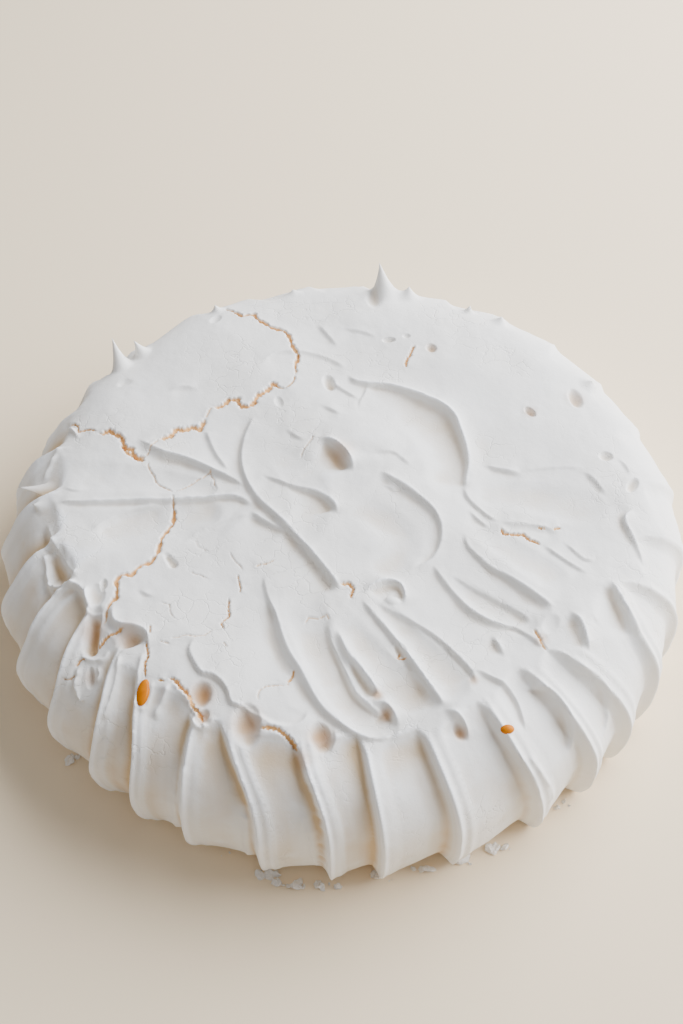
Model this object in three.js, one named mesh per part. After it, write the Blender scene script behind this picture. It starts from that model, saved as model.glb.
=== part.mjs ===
// A pavlova shell: one baked meringue, paddled into flutes round its side and swirled on its flat top.
// Millimetres, +Z up. The origin is the middle of the flat base, and the front faces -Y.

import * as THREE from 'three';

// ---- Driving dimensions ----

const TOP_HEIGHT = 55.5; // the flat top, before its knife strokes
const BULGE_HEIGHT = 24; // where the side is widest
const SHOULDER = 39; // how far in from the bulge the round shoulder reaches
const FOOT_CURVE = 2.3; // how fast the side tucks in under the bulge
const TOE_ROUND = 1.5; // the bottom edge is rounded, sideways
const TOE_HEIGHT = 3.6; // and upwards
const OUTLINE_STEP = 30; // degrees between the outline's stations, from -180
const FOOT_RADII = [115, 112.5, 110.5, 112.5, 113.5, 115, 115.5, 113, 111, 111, 111, 113];
const BULGE_RADII = [120, 119, 117, 118, 118.5, 119.5, 119, 118, 117, 117, 117, 118.5];
const SQUARENESS = [2.5, 2.6, 2.5, 2.4, 2.4, 2.7, 3.2, 3.2, 3.0, 2.8, 2.8, 2.9]; // of the shoulder

const DEPTH_AT_FOOT = [4.5, 4.5, 4.2, 4.6, 5.0, 5.0, 3.6, 3.0, 3.0, 3.0, 3.0, 4.0]; // of the flutes
const DEPTH_AT_RIM = [3.2, 3.0, 3.0, 3.6, 3.6, 2.6, 1.1, 0.9, 0.9, 0.9, 1.1, 2.0];
// A flute falls from its left crest, nearly straight (1) or hollow (more), at the outline's stations
const FALL_POWERS = [1.6, 2.0, 2.4, 1.7, 1.3, 1.3, 1.3, 1.3, 1.3, 1.3, 1.3, 1.5];
const FLANK_RISE = 1.3; // and climbs a short steep flank to its right crest
const CREST_LIP = 0.9; // the thin lip along each crest
const FLUTE_REACH = 102; // radius on the top where most flutes end
const FLUTE_REACHES = new Map([
  [0, 95], [1, 91], [2, 91], [3, 90], [4, 92], [5, 90], [6, 92], [7, 91], [8, 89], [9, 90], [10, 89],
  [11, 86], [12, 88], [13, 92], [14, 97], [15, 100], [25, 104], [26, 105], [27, 106], [28, 107],
  [29, 103], [30, 97],
]);
const FLUTE_ROUND = 11; // length of the round end of a flute

// Ridges between the flutes: [azimuth at the foot, azimuth at the top, how late it leans, flank in degrees]
const RIDGES = [
  [-179, -184, 6, 1.8], [-167, -172, 6, 1.8], [-155, -161, 6, 1.8], [-143.5, -152, 9, 1.8],
  [-132.8, -140.5, 11, 1.6], [-124.2, -133, 9, 1.7], [-114.8, -118.5, 6, 1.8], [-102.3, -113.5, 8, 1.8],
  [-91.4, -98.5, 8, 1.7], [-83.4, -85.5, 6, 1.5], [-71.6, -73.8, 6, 1.6], [-56.5, -60.5, 1.6, 1.6],
  [-46.2, -49, 2, 1.6], [-37.5, -41, 3, 1.8], [-29, -20, 18, 1.8], [-17, -19, 4, 2], [-5.5, -8, 4, 2],
];
const LEFT_BACK_RIDGES = [
  [111, 107, 4, 2], [123, 119, 4, 2], [136.5, 133, 5, 2], [147.5, 144, 5, 2], [158, 154, 5, 2],
  [169.5, 164, 5, 2],
];
const HIDDEN_FLUTE = 12.6; // degrees, width of the flutes round the back
const HIDDEN_LEAN = -4;
const HIDDEN_POWER = 4;
const HIDDEN_FLANK = 2.2;

// Broad form of the top: the middle swirl stands a little proud, and the top falls slowly to the left
const MOUND_PLACE = [8, 12];
const MOUND_SIZE = [48, 52];
const MOUND_HEIGHT = 1.6;
const MOUND_FLAT = 0.35; // the share of its size over which it is level
const LEFT_FALL_START = -8;
const LEFT_FALL = 0.042; // the slope that it comes to
const LEFT_FALL_ROUND = 25; // the length over which it does so

// ---- Mesh fineness ----

const PLATE_COLUMNS = [0, 0.2, 0.5, 0.8, 1]; // across a flute, from its crest to its deepest line
const FLANK_COLUMNS = [0.5]; // and up its steep flank
const SIDE_ROWS = 15;
const PROFILE_STEPS = 400; // samples of the side's curve, to space the rows by
const TOP_SPACING = 3.45;
const FLUTED_RADIUS = 93; // the fluted rows end here, and plain rings cover the top
const PATH_STEP = 3; // samples along each span of a curved path

// ---- Relief of the top and shoulder, in plan: x to the right, y to the back ----

// A ledge has its lip on the left, as one walks along it. Its rise and the width of its face are given
// at even stations along it, and then how far its lip and the hollow under it fade out.
const LEDGES = [
  {
    path: [
      [-31, 37], [-34, 27], [-34.5, 17], [-32.5, 8], [-28.5, 0],
      [-22, -8], [-15, -16.5], [-8, -26], [-3.5, -32.5], [0, -38],
    ],
    rises: [1, 1.8, 2.6, 3.4, 3.8], faces: [1.3, 1.6, 2.2, 3, 3.8], back: 8, foot: 5,
  },
  {
    path: [[-31, -5], [-27, -8.5], [-22, -12], [-18, -14.5]],
    rises: [2.8, 2.4, 1.4], faces: [2.6, 2.2, 1.4], back: 2.5, foot: 5,
  },
  {
    path: [[-27, 9.5], [-22, 7], [-16, 4], [-9, 1.5], [-5, -1.5], [-2, -5], [-1.5, -8.5]],
    rises: [0.8, 1.5, 2.4, 3.8], faces: [0.9, 1.4, 2.2, 3.8], back: 7, foot: 5,
  },
  {
    path: [
      [13, 9.5], [17, 6.5], [21, 3.5], [25, 0], [29, -4],
      [32, -8], [33.5, -13], [33, -19], [30, -25], [24, -29],
    ],
    rises: [2, 2.8, 2.2, 1.8, 0.8], faces: [3.4, 3.2, 2.2, 1.5, 1.2], back: 5, foot: 9,
  },
  {
    path: [
      [2.5, 57], [5, 53.3], [10, 51.8], [16, 51], [22, 49], [29, 45.5], [36, 41],
      [40, 36], [42, 29], [43.5, 22], [44, 15], [43, 9], [42.3, 3],
    ],
    rises: [1.2, 2.8, 3.8, 4.2, 3.4, 1.6], faces: [1.4, 2.2, 3.4, 3.6, 2.6, 1.4], back: 3.5, foot: 14,
  },
  { path: [[-19.5, 30.5], [-16, 26.5], [-12, 24]], rises: [0.5, 1.4], faces: [1.4], back: 3, foot: 4 },
  {
    path: [[-8, 24.5], [-4, 23], [0, 19], [3, 14], [4.3, 9.5]],
    rises: [1.8, 5.4, 6.2, 3.6], faces: [2.4, 4, 4.6, 3], back: 5, foot: 6,
  },
  {
    path: [[-72, 27], [-67, 24], [-62, 21], [-55, 18.5], [-48, 15], [-42, 11.5], [-36, 8], [-32.5, 5.5]],
    rises: [1.4, 3, 3.2, 2.6, 1], faces: [3.5, 3.2, 2.6, 2, 1.2], back: 6, foot: 8,
  },
  {
    path: [[-97, 0.5], [-85, 0], [-70, 0.5], [-57, 0.5], [-45, 1.2], [-36, 1], [-29.5, -2.5]],
    rises: [1.5, 2, 2.2, 2.2], faces: [1.4], back: 8, foot: 9,
  },
  {
    path: [[-84, -12.5], [-78, -7], [-72, -3.5], [-66, -1.8], [-60, -0.3]],
    rises: [1.5], faces: [3.2], back: 8, foot: 7,
  },
  {
    path: [[-102, -6], [-98.5, -14], [-94.5, -21], [-90.5, -27], [-86, -31.5]],
    rises: [2, 3.5, 3], faces: [3.5, 5, 4], back: 9, foot: 3,
  },
  { path: [[-66, -36], [-63.5, -38.2], [-60, -39.5]], rises: [1.2], faces: [1], back: 2, foot: 2 },
  {
    path: [[-101, -29], [-96, -32.5], [-90, -33], [-85.5, -35], [-82.7, -40], [-80.5, -46]],
    rises: [1.4, 2.8, 2.4, 1.4], faces: [2.6], back: 3, foot: 7,
  },
  {
    path: [[-74, -42], [-73.2, -48], [-70, -50.5], [-66, -51.3], [-62, -53.5], [-60.5, -59]],
    rises: [2, 3.6, 2.4], faces: [2, 3.6, 2.4], back: 4, foot: 6,
  },
  {
    path: [
      [-46, -55], [-47.7, -59.5], [-46.3, -63.5], [-43.5, -68], [-40, -69.2], [-37, -71.5],
      [-34.8, -75], [-33.3, -79], [-29.5, -80.3], [-26.6, -83.5], [-25.3, -88],
    ],
    rises: [0.6, 1.5, 1.9, 1.9, 1.6, 1.2, 1], faces: [1, 1.3, 1.3], back: 5, foot: 5,
  },
  { path: [[49, 14.7], [55, 12.8], [62.8, 11]], rises: [1.1, 1.6], faces: [1.4], back: 4, foot: 5 },
  {
    path: [[99.5, -4], [95.5, -7.5], [95.5, -11], [97, -15], [98.5, -19], [99.7, -23], [100, -27]],
    rises: [0.5, 2.4, 2.1, 1.1, 1.1], faces: [1, 1.6, 1.5, 1.2], back: 4, foot: 5,
  },
  {
    path: [[42, 5], [43, 0], [46, -4], [50, -8], [53.5, -10]],
    rises: [1.2], faces: [1.1], back: 6, foot: 2,
  },
  { path: [[53, -10.5], [60, -11], [67, -12], [74, -14]], rises: [1.2, 1], faces: [2.4], back: 7, foot: 4 },
  {
    path: [
      [41.3, -15], [42, -20], [45, -24.5], [49, -29], [54, -32.5],
      [58, -36], [62, -39.5], [66, -43], [69, -45],
    ],
    rises: [0.9, 1.5, 2, 3, 2.2], faces: [1.1, 1.3, 1.8, 3.2, 2.4], back: 7, foot: 7,
  },
  {
    path: [
      [30, -27], [32, -31], [35, -36], [38.5, -41], [42, -45.5],
      [47, -49], [52, -51], [56, -52], [60, -55.5], [65, -60],
    ],
    rises: [1, 1.8, 2.5, 2.2, 1.2, 1], faces: [1.4, 1.8, 2.4, 2, 1, 0.9], back: 5, foot: 7,
  },
  {
    path: [[36, -31.5], [42, -36], [48, -40], [54, -44], [59, -47.5], [61, -50.5]],
    rises: [0.4, 0.8, 1, 2.2], faces: [0.9, 1, 1.2, 2.4], back: 4, foot: 4,
  },
  {
    path: [[73, -46], [76, -50], [77.3, -55], [78.5, -60.5]],
    rises: [3, 3.5, 2.5], faces: [3, 3.4, 2.4], back: 5, foot: 7,
  },
  {
    path: [[88, -33], [90, -39], [92.5, -45], [94.3, -52]],
    rises: [2.5, 2.8, 2.2], faces: [2.3], back: 6, foot: 6,
  },
  { path: [[48, -54], [49.5, -58], [51.7, -63]], rises: [2.2], faces: [1.6], back: 2, foot: 3 },
  {
    path: [[41, -67.5], [47, -70.5], [51.5, -73], [54.5, -77], [56, -82], [57, -87]],
    rises: [0.9, 1.8, 1.6, 0.9], faces: [1.2, 1.5, 1], back: 4, foot: 5,
  },
  {
    path: [[56, -74], [60, -72.3], [65, -73.5], [69, -77.5], [72, -83], [74, -89]],
    rises: [1, 1.9, 2.2, 2], faces: [1, 1.6, 2.2], back: 4, foot: 5,
  },
  {
    path: [
      [-25, -31], [-24.5, -36], [-23, -41.5], [-20.8, -47], [-19, -54], [-16.5, -61], [-13, -67],
      [-9.5, -74], [-6, -80], [-1.5, -84.7], [3.5, -88.3], [9, -90.5], [14, -90.3], [17, -87.5],
    ],
    rises: [0.5, 1.2, 3, 3.6, 3.2, 2.8, 2.2, 1.8, 1.1],
    faces: [1.2, 1.8, 4, 4.4, 2.8, 2.2, 1.6, 1.3], back: 8, foot: 5,
  },
  {
    path: [[-4.3, -49], [-3, -56], [-0.5, -62], [2, -68], [4.5, -74], [8, -78.5], [11.5, -81.5], [15, -83]],
    rises: [1, 2, 2.5, 2.4, 1.5], faces: [1.4, 1.8, 1.8, 1.2], back: 2.2, foot: 4,
  },
  {
    path: [[-1.5, -52], [2, -61], [5.5, -66], [9, -71], [12, -76]],
    rises: [1.1, 2.8, 3.2, 3], faces: [1.6, 2.6, 3.2], back: 6, foot: 3,
  },
  {
    path: [[9.5, -78.5], [13.5, -79], [16.3, -82.5], [17.3, -87]],
    rises: [1.8, 3.2, 2.2], faces: [1.4, 2.4, 1.8], back: 2.4, foot: 3,
  },
  {
    path: [[6.5, -41], [10, -46], [14, -51.5], [18, -57.5], [22, -64], [26, -71], [29, -76], [32, -81]],
    rises: [1, 1.8, 2.2, 3.2, 3.6, 2.5], faces: [1.2, 1.5, 2, 3.4, 3.6], back: 5, foot: 6,
  },
  {
    path: [
      [11, -42], [16, -45.5], [22, -49], [28, -53.5],
      [33, -58.5], [38, -64.5], [41, -69], [41.8, -73],
    ],
    rises: [0.6, 1.1, 1.5, 2.1, 1.8], faces: [1, 1.3, 1.6], back: 5, foot: 7,
  },
  {
    path: [[7.5, -39.5], [10.5, -36.5], [15, -34.3], [19, -35.3], [20.7, -39], [20, -43.5]],
    rises: [1.5, 3.2, 3.2, 1.8], faces: [2.2, 3.2, 1.4, 1], back: 2, foot: 4,
  },
  {
    path: [[30.5, -81.5], [35, -82.7], [38, -86], [39, -91]],
    rises: [1.5, 3.2, 2.2], faces: [2, 3.6, 2.4], back: 3, foot: 5,
  },
  { path: [[-2.3, -86], [-1.6, -91], [-4, -96]], rises: [1.2], faces: [1], back: 2, foot: 4 },
];
const LIP_SHARE = 0.52; // the part of a rise that stands above the body
const NARROWEST_FACE = 2.6; // so that the facets can show it
const FACE_ABOVE = 0.15; // the part of a face on the lip's side of the path; the rest lies below
const FACE_CURVE = 2.2; // a face is steep under its lip and runs out into its hollow
const THIN_LIP = 1.1; // the sharp part of a lip fades out over this
const THIN_LIP_SHARE = 0.36;
const END_TAPER = 4.5;

// A scoop is a round-ended channel that the knife left. Its width grows from its first point.
const SCOOPS = [
  {
    path: [[-12, -42], [-9.5, -52], [-6, -62], [-2, -70], [2, -77], [7, -83], [12, -86]],
    wide: [7, 6], deep: 1.7,
  },
  { path: [[2, -50], [8, -59], [15, -69], [21, -76]], wide: [4, 6.5], deep: 1.4 },
  { path: [[15, -46], [22, -55], [30, -66], [34, -73]], wide: [3, 6], deep: 1.3 },
  { path: [[3.5, -64], [6.5, -70], [9, -74.5]], wide: [1.5, 2.4], deep: 1.2 },
  { path: [[-96.5, -17], [-95, -27]], wide: [4, 4.5], deep: 1.4 },
  { path: [[-78.8, -48], [-80.4, -57]], wide: [2.3, 2.6], deep: 4.2 },
  { path: [[-93, -13], [-78, -12], [-60, -8], [-46, -5]], wide: [10, 6], deep: 1.3 },
  { path: [[-94, 11], [-80, 11], [-62, 9], [-46, 5]], wide: [8, 4], deep: 1 },
  { path: [[14, 40], [24, 37], [33, 29], [37, 18], [37, 8]], wide: [9, 8], deep: 1.3 },
  { path: [[-20, -24], [-12, -14], [-10, 0], [-16, 14]], wide: [6, 7], deep: 0.9 },
  { path: [[8, -6], [16, -12], [20, -20], [16, -27]], wide: [6, 7], deep: 1 },
  { path: [[46, -12], [56, -22], [68, -32]], wide: [5, 6], deep: 0.9 },
  { path: [[38, -36], [48, -44], [58, -50]], wide: [4, 5], deep: 0.9 },
  { path: [[52, 2], [66, 0], [82, -4]], wide: [6, 8], deep: 0.8 },
];

// Dents are burst bubbles and pits; a negative depth is a bump. [x, y, long, short, angle, depth]
const DENTS = [
  [-4.2, 52.5, 4.2, 2.2, -75, 2.2], [11, 24, 13, 7, -15, -1], [-43, -75.5, 4.8, 3.4, 90, 3.4],
  [-28.5, -86, 7, 4.6, 90, 3.6], [-6, -90, 5.4, 3.4, -80, 3], [-66, -55.5, 4.5, 2.6, 20, 1.2],
  [-79.5, -38.5, 4.6, 3.2, 90, 2], [-67.5, -55.5, 4.4, 3.2, 20, 1.8], [84.6, 46, 5, 2.6, -80, 2.6],
  [92.3, 18.3, 2.6, 2.2, 0, 2], [67, -51, 4, 2.6, 60, 0.8], [36.8, -87.5, 3.4, 2.2, -60, 1.4],
  [12.8, 97, 3.2, 6.5, 0, 1.8], [-79, 55, 2, 3, -70, 0.7], [-47, 86, 3, 2, 60, 0.8],
  [17, -41.5, 2.6, 2, 0, -0.9],
];

// Syrup beads, set in the shoulder and proud of it: same columns as the dents
const BEADS = [[-61.3, -73.6, 4.4, 2.2, 97, -1.5], [50.9, -86.9, 2.2, 1.5, 5, -1.3]];

// Peaks that the lifted knife pulled out:
// [azimuth, radius, reach, spread, lean out, lean sideways in degrees, up]
const PEAKS = [
  [80.3, 103, 14.5, 8, 0.3, 50, 1], [75.5, 104, 4.5, 7, 0.2, 0, 1], [141, 106, 15, 5.5, 0.15, 0, 1],
  [135.8, 104, 8.5, 4.5, 0.3, 60, 1], [174.6, 105, 11, 4.2, 1, 0, 0.05], [179.5, 103.5, 3.5, 4, 1, 0, 0.3],
  [-162, 100, 3, 4.5, 0.7, 0, 0.6], [-139.3, 110, 2.8, 3.2, 0.9, 0, -0.5], [117, 104, 3, 4, 0.2, 0, 1],
  [62, 104, 3, 3.5, 0.3, 0, 1], [55, 105, 2.5, 5, 0.4, 0, 1], [31, 106, 2, 5, 0.5, 0, 1],
  [100, 104, 1.8, 5, 0.3, 0, 1],
];

const MERINGUE = { color: 0xf2efea, roughness: 0.8, metalness: 0 };

// ---- Small helpers ----

const { clamp, lerp, smoothstep, degToRad, radToDeg } = THREE.MathUtils;

// Smooth closed curve through stations spaced evenly round the outline
function around(stations, azimuth) {
  const place = THREE.MathUtils.euclideanModulo(azimuth + 180, 360) / OUTLINE_STEP;
  const first = Math.floor(place);
  const t = place - first;
  const [a, b, c, d] = [-1, 0, 1, 2].map((k) => stations[(first + k + stations.length) % stations.length]);
  return b + 0.5 * t * (c - a + t * (2 * a - 5 * b + 4 * c - d + t * (3 * (b - c) + d - a)));
}

// Repeatable draw between -1 and 1
function jitter(index) {
  const wave = Math.sin(index * 12.9898 + 4.1) * 43758.5453;
  return 2 * (wave - Math.floor(wave)) - 1;
}

// ---- The smooth body under the relief ----

function sideRadius(azimuth, height) {
  const bulge = around(BULGE_RADII, azimuth);
  if (height < BULGE_HEIGHT) {
    const tuck = bulge - around(FOOT_RADII, azimuth);
    const toe = TOE_ROUND * clamp(1 - height / TOE_HEIGHT, 0, 1) ** 2;
    return bulge - tuck * (1 - height / BULGE_HEIGHT) ** FOOT_CURVE - toe;
  }
  const power = around(SQUARENESS, azimuth);
  const rise = clamp((height - BULGE_HEIGHT) / (TOP_HEIGHT - BULGE_HEIGHT), 0, 1);
  return bulge - SHOULDER + SHOULDER * (1 - rise ** power) ** (1 / power);
}

function topHeight(azimuth, radius) {
  const power = around(SQUARENESS, azimuth);
  const out = clamp((radius - around(BULGE_RADII, azimuth) + SHOULDER) / SHOULDER, 0, 1);
  return BULGE_HEIGHT + (TOP_HEIGHT - BULGE_HEIGHT) * (1 - out ** power) ** (1 / power);
}

function atAzimuth(azimuth, radius, height) {
  const angle = degToRad(azimuth);
  return new THREE.Vector3(radius * Math.cos(angle), radius * Math.sin(angle), height);
}

const onSide = (azimuth, height) => atAzimuth(azimuth, sideRadius(azimuth, height), height);

function onTop(x, y) {
  return new THREE.Vector3(x, y, topHeight(radToDeg(Math.atan2(y, x)), Math.hypot(x, y)));
}

// Outward direction: across the slope on the shoulder and side, straight up on the flat
function outward(point) {
  const azimuth = radToDeg(Math.atan2(point.y, point.x));
  const radius = Math.hypot(point.x, point.y);
  const inner = around(BULGE_RADII, azimuth) - SHOULDER;
  if (radius <= inner) return new THREE.Vector3(0, 0, 1);
  const reach = 0.4;
  if (point.z > TOP_HEIGHT - 3) {
    const fall = topHeight(azimuth, radius - reach) - topHeight(azimuth, radius + reach);
    return atAzimuth(azimuth, fall, 2 * reach).normalize();
  }
  const above = sideRadius(azimuth, point.z + reach);
  const below = sideRadius(azimuth, Math.max(0, point.z - reach));
  return atAzimuth(azimuth, 2 * reach, below - above).normalize();
}

// ---- Flutes ----

// The told-apart ridges, with evenly spaced ones and a little jitter between them round the back
function allRidges() {
  const first = RIDGES[RIDGES.length - 1][0];
  const last = LEFT_BACK_RIDGES[0][0];
  const count = Math.round((last - first) / HIDDEN_FLUTE);
  const hidden = [];
  for (let i = 1; i < count; i += 1) {
    const azimuth = lerp(first, last, i / count) + 1.6 * jitter(i);
    hidden.push([azimuth, azimuth + HIDDEN_LEAN + 1.5 * jitter(i + 50), HIDDEN_POWER, HIDDEN_FLANK]);
  }
  return [...RIDGES, ...hidden, ...LEFT_BACK_RIDGES];
}

const ridges = allRidges();

function ridgeAzimuth(index, height) {
  const lap = Math.floor(index / ridges.length);
  const [foot, top, power] = ridges[index - lap * ridges.length];
  return foot + 360 * lap + (top - foot) * (clamp(height, 0, TOP_HEIGHT) / TOP_HEIGHT) ** power;
}

// Place of a flute's deepest line across it, from 0 to 1
function valley(index, height) {
  const width = ridgeAzimuth(index + 1, height) - ridgeAzimuth(index, height);
  return clamp(1 - ridges[(index + 1) % ridges.length][3] / width, 0.5, 0.95);
}

// How deep the knife went, across (0 to 1) and up one flute
function fluteRelief({ index, across }, azimuth, radius, height) {
  const deepest = valley(index, height);
  const fall = 1 - clamp(1 - across / deepest, 0, 1) ** around(FALL_POWERS, azimuth);
  const climb = 1 - clamp((across - deepest) / (1 - deepest), 0, 1) ** FLANK_RISE;
  const reach = FLUTE_REACHES.get(index) ?? FLUTE_REACH + 1.5 * jitter(index + 9);
  const end = height > BULGE_HEIGHT ? clamp(1 - (radius - reach) / FLUTE_ROUND, 0, 2) ** 3 : 0;
  const depth = lerp(around(DEPTH_AT_FOOT, azimuth), around(DEPTH_AT_RIM, azimuth), height / TOP_HEIGHT);
  const lip = across === 0 ? CREST_LIP * clamp(1 - 2 * end, 0, 1) * Math.min(1, depth / 3) : 0;
  return lip - depth * (1 + 0.12 * jitter(index + 30)) * clamp(Math.min(fall, climb) - end, 0, 1);
}

// ---- Relief ----

// Curved path laid on the body, with the length up to each sample
function layPath(points) {
  const flat = points.map(([x, y]) => new THREE.Vector3(x, y, 0));
  const curve = new THREE.CatmullRomCurve3(flat, false, 'catmullrom', 0.5);
  const samples = curve.getPoints(PATH_STEP * (points.length - 1)).map((p) => onTop(p.x, p.y));
  const lengths = [0];
  for (let i = 1; i < samples.length; i += 1) {
    lengths.push(lengths[i - 1] + samples[i].distanceTo(samples[i - 1]));
  }
  return { samples, lengths, total: lengths[lengths.length - 1] };
}

// Distance from a path, which side of it the point is on, and how far along it (0 to 1)
function nearest(line, point, normal) {
  const best = { distance: Infinity, left: 1, along: 0 };
  const segment = new THREE.Line3();
  const close = new THREE.Vector3();
  for (let i = 1; i < line.samples.length; i += 1) {
    segment.set(line.samples[i - 1], line.samples[i]);
    const t = segment.closestPointToPointParameter(point, true);
    segment.at(t, close);
    const distance = close.distanceTo(point);
    if (distance < best.distance) {
      const ahead = segment.delta(new THREE.Vector3());
      const across = new THREE.Vector3().crossVectors(normal, ahead);
      best.distance = distance;
      best.left = Math.sign(across.dot(close.subVectors(point, close))) || 1;
      best.along = lerp(line.lengths[i - 1], line.lengths[i], t) / line.total;
    }
  }
  return best;
}

const ledges = LEDGES.map((ledge) => ({ ...ledge, line: layPath(ledge.path) }));
const scoops = SCOOPS.map((scoop) => ({ ...scoop, line: layPath(scoop.path) }));

// A value given at even stations along a path, read at any place from 0 to 1
function atStation(values, along) {
  const place = along * (values.length - 1);
  const first = Math.min(Math.floor(place), values.length - 2);
  return values.length === 1 ? values[0] : lerp(values[first], values[first + 1], place - first);
}

// A steep face with its lip above it and a hollow below it
function ledgeRelief(ledge, point, normal) {
  const { distance, left, along } = nearest(ledge.line, point, normal);
  const toEnd = Math.min(along, 1 - along) * ledge.line.total;
  const face = Math.max(NARROWEST_FACE, atStation(ledge.faces, along));
  const place = left * distance;
  const climb = clamp(place / face + 1 - FACE_ABOVE, 0, 1) ** FACE_CURVE;
  const behind = Math.max(0, place - FACE_ABOVE * face);
  const below = Math.max(0, -place - (1 - FACE_ABOVE) * face);
  const lip = lerp(Math.exp(-behind / ledge.back), Math.exp(-behind / THIN_LIP), THIN_LIP_SHARE);
  const hollow = (1 - climb) * Math.exp(-below / ledge.foot);
  const rise = atStation(ledge.rises, along) * smoothstep(toEnd, 0, END_TAPER);
  return rise * (LIP_SHARE * climb * lip - (1 - LIP_SHARE) * hollow);
}

function scoopRelief(scoop, point, normal) {
  const { distance, along } = nearest(scoop.line, point, normal);
  const wide = lerp(scoop.wide[0], scoop.wide[1], along);
  return -scoop.deep * smoothstep(along, -0.2, 0.3) * Math.max(0, 1 - (distance / wide) ** 2);
}

function dentRelief([x, y, long, short, angle, depth], point) {
  const turn = degToRad(angle);
  const dx = point.x - x;
  const dy = point.y - y;
  const along = (dx * Math.cos(turn) + dy * Math.sin(turn)) / long;
  const across = (dy * Math.cos(turn) - dx * Math.sin(turn)) / short;
  return -depth * Math.max(0, 1 - along * along - across * across);
}

// Gentle unevenness that everything lies on
function swell({ x, y, z }) {
  return 0.5 * Math.sin(x / 19 + 1.3) * Math.cos(y / 23 - 0.4) + 0.3 * Math.sin((x + y + z) / 11);
}

function broadForm({ x, y }) {
  const across = Math.hypot((x - MOUND_PLACE[0]) / MOUND_SIZE[0], (y - MOUND_PLACE[1]) / MOUND_SIZE[1]);
  const beyond = Math.max(0, LEFT_FALL_START - x);
  const fall = (LEFT_FALL * beyond ** 2) / (beyond + LEFT_FALL_ROUND);
  return MOUND_HEIGHT * (1 - smoothstep(across, MOUND_FLAT, 1)) - fall;
}

function topRelief(point, normal) {
  let relief = swell(point) + broadForm(point);
  for (const ledge of ledges) relief += ledgeRelief(ledge, point, normal);
  for (const scoop of scoops) relief += scoopRelief(scoop, point, normal);
  for (const dent of [...DENTS, ...BEADS]) relief += dentRelief(dent, point);
  return relief;
}

// ---- Surface points ----

// Where one spot of the body ends up, given the flute that it belongs to
function surfacePoint(base, flute) {
  const normal = outward(base);
  const azimuth = radToDeg(Math.atan2(base.y, base.x));
  const low = smoothstep(base.z, 2, 12); // nothing lifts the foot off its outline
  let relief = topRelief(base, normal) * smoothstep(base.z, 24, 42) + low * 0.5 * swell(base);
  if (flute) relief += fluteRelief(flute, azimuth, Math.hypot(base.x, base.y), base.z);
  const direction = base.z < 12 ? atAzimuth(azimuth, 1, 0) : normal;
  return base.clone().addScaledVector(direction, relief);
}

function vertexAt(azimuth, base, flute) {
  return { azimuth, base, point: surfacePoint(base, flute) };
}

function flutedRing(height) {
  const ring = [];
  for (let index = 0; index < ridges.length; index += 1) {
    const deepest = valley(index, height);
    const columns = PLATE_COLUMNS.map((share) => share * deepest);
    columns.push(...FLANK_COLUMNS.map((share) => lerp(deepest, 1, share)));
    for (const across of columns) {
      const azimuth = lerp(ridgeAzimuth(index, height), ridgeAzimuth(index + 1, height), across);
      ring.push(vertexAt(azimuth, onSide(azimuth, height), { index, across }));
    }
  }
  return ring;
}

function plainRing(radius) {
  const count = Math.max(6, Math.round((2 * Math.PI * radius) / TOP_SPACING));
  const ring = [];
  for (let i = 0; i < count; i += 1) {
    const azimuth = ridgeAzimuth(0, TOP_HEIGHT) + (360 * (i + 0.5 * (Math.round(radius) % 2))) / count;
    const base = onTop(radius * Math.cos(degToRad(azimuth)), radius * Math.sin(degToRad(azimuth)));
    ring.push(vertexAt(azimuth, base, fluteAt(azimuth, base.z)));
  }
  return ring;
}

// The flute that holds a given azimuth at a given height
function fluteAt(azimuth, height) {
  for (let index = 0; index < 2 * ridges.length; index += 1) {
    const from = ridgeAzimuth(index, height);
    const to = ridgeAzimuth(index + 1, height);
    if (azimuth >= from && azimuth < to) {
      return { index: index % ridges.length, across: (azimuth - from) / (to - from) };
    }
  }
  return null;
}

// Heights of the fluted rings: the foot, then from its rounded edge up, evenly along the side's curve
function ringHeights() {
  const profile = [];
  for (let i = 0; i <= PROFILE_STEPS; i += 1) {
    const turned = (1 - Math.cos((Math.PI * i) / PROFILE_STEPS)) / 2;
    profile.push(lerp(TOE_HEIGHT, TOP_HEIGHT, turned));
  }
  const lengths = [0];
  for (let i = 1; i < profile.length && sideRadius(-90, profile[i]) > FLUTED_RADIUS; i += 1) {
    const across = sideRadius(-90, profile[i]) - sideRadius(-90, profile[i - 1]);
    lengths.push(lengths[i - 1] + Math.hypot(across, profile[i] - profile[i - 1]));
  }
  const total = lengths[lengths.length - 1];
  const heights = [0];
  for (let row = 0; row <= SIDE_ROWS; row += 1) {
    const place = lengths.findIndex((length) => length >= (total * row) / SIDE_ROWS - 1e-9);
    heights.push(profile[place]);
  }
  return heights;
}

// ---- Mesh ----

// Joins two rings of any counts, always taking the shorter step round
function bridge(lower, upper, triangles) {
  const turn = (ring, i) => ring[i % ring.length].azimuth + 360 * Math.floor(i / ring.length);
  let a = 0;
  let b = 0;
  while (turn(upper, b + 1) <= turn(lower, 0) && b < upper.length) b += 1;
  while (turn(upper, b) > turn(lower, 1)) b -= 1;
  const start = b;
  while (a < lower.length || b < start + upper.length) {
    const stepLower = a < lower.length && (b >= start + upper.length
      || turn(lower, a + 1) + turn(lower, a) <= turn(upper, b + 1) + turn(upper, b));
    const low = lower[a % lower.length].id;
    const high = upper[b % upper.length].id;
    if (stepLower) {
      triangles.push([low, lower[(a + 1) % lower.length].id, high]);
      a += 1;
    } else {
      triangles.push([low, upper[(b + 1) % upper.length].id, high]);
      b += 1;
    }
  }
}

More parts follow.
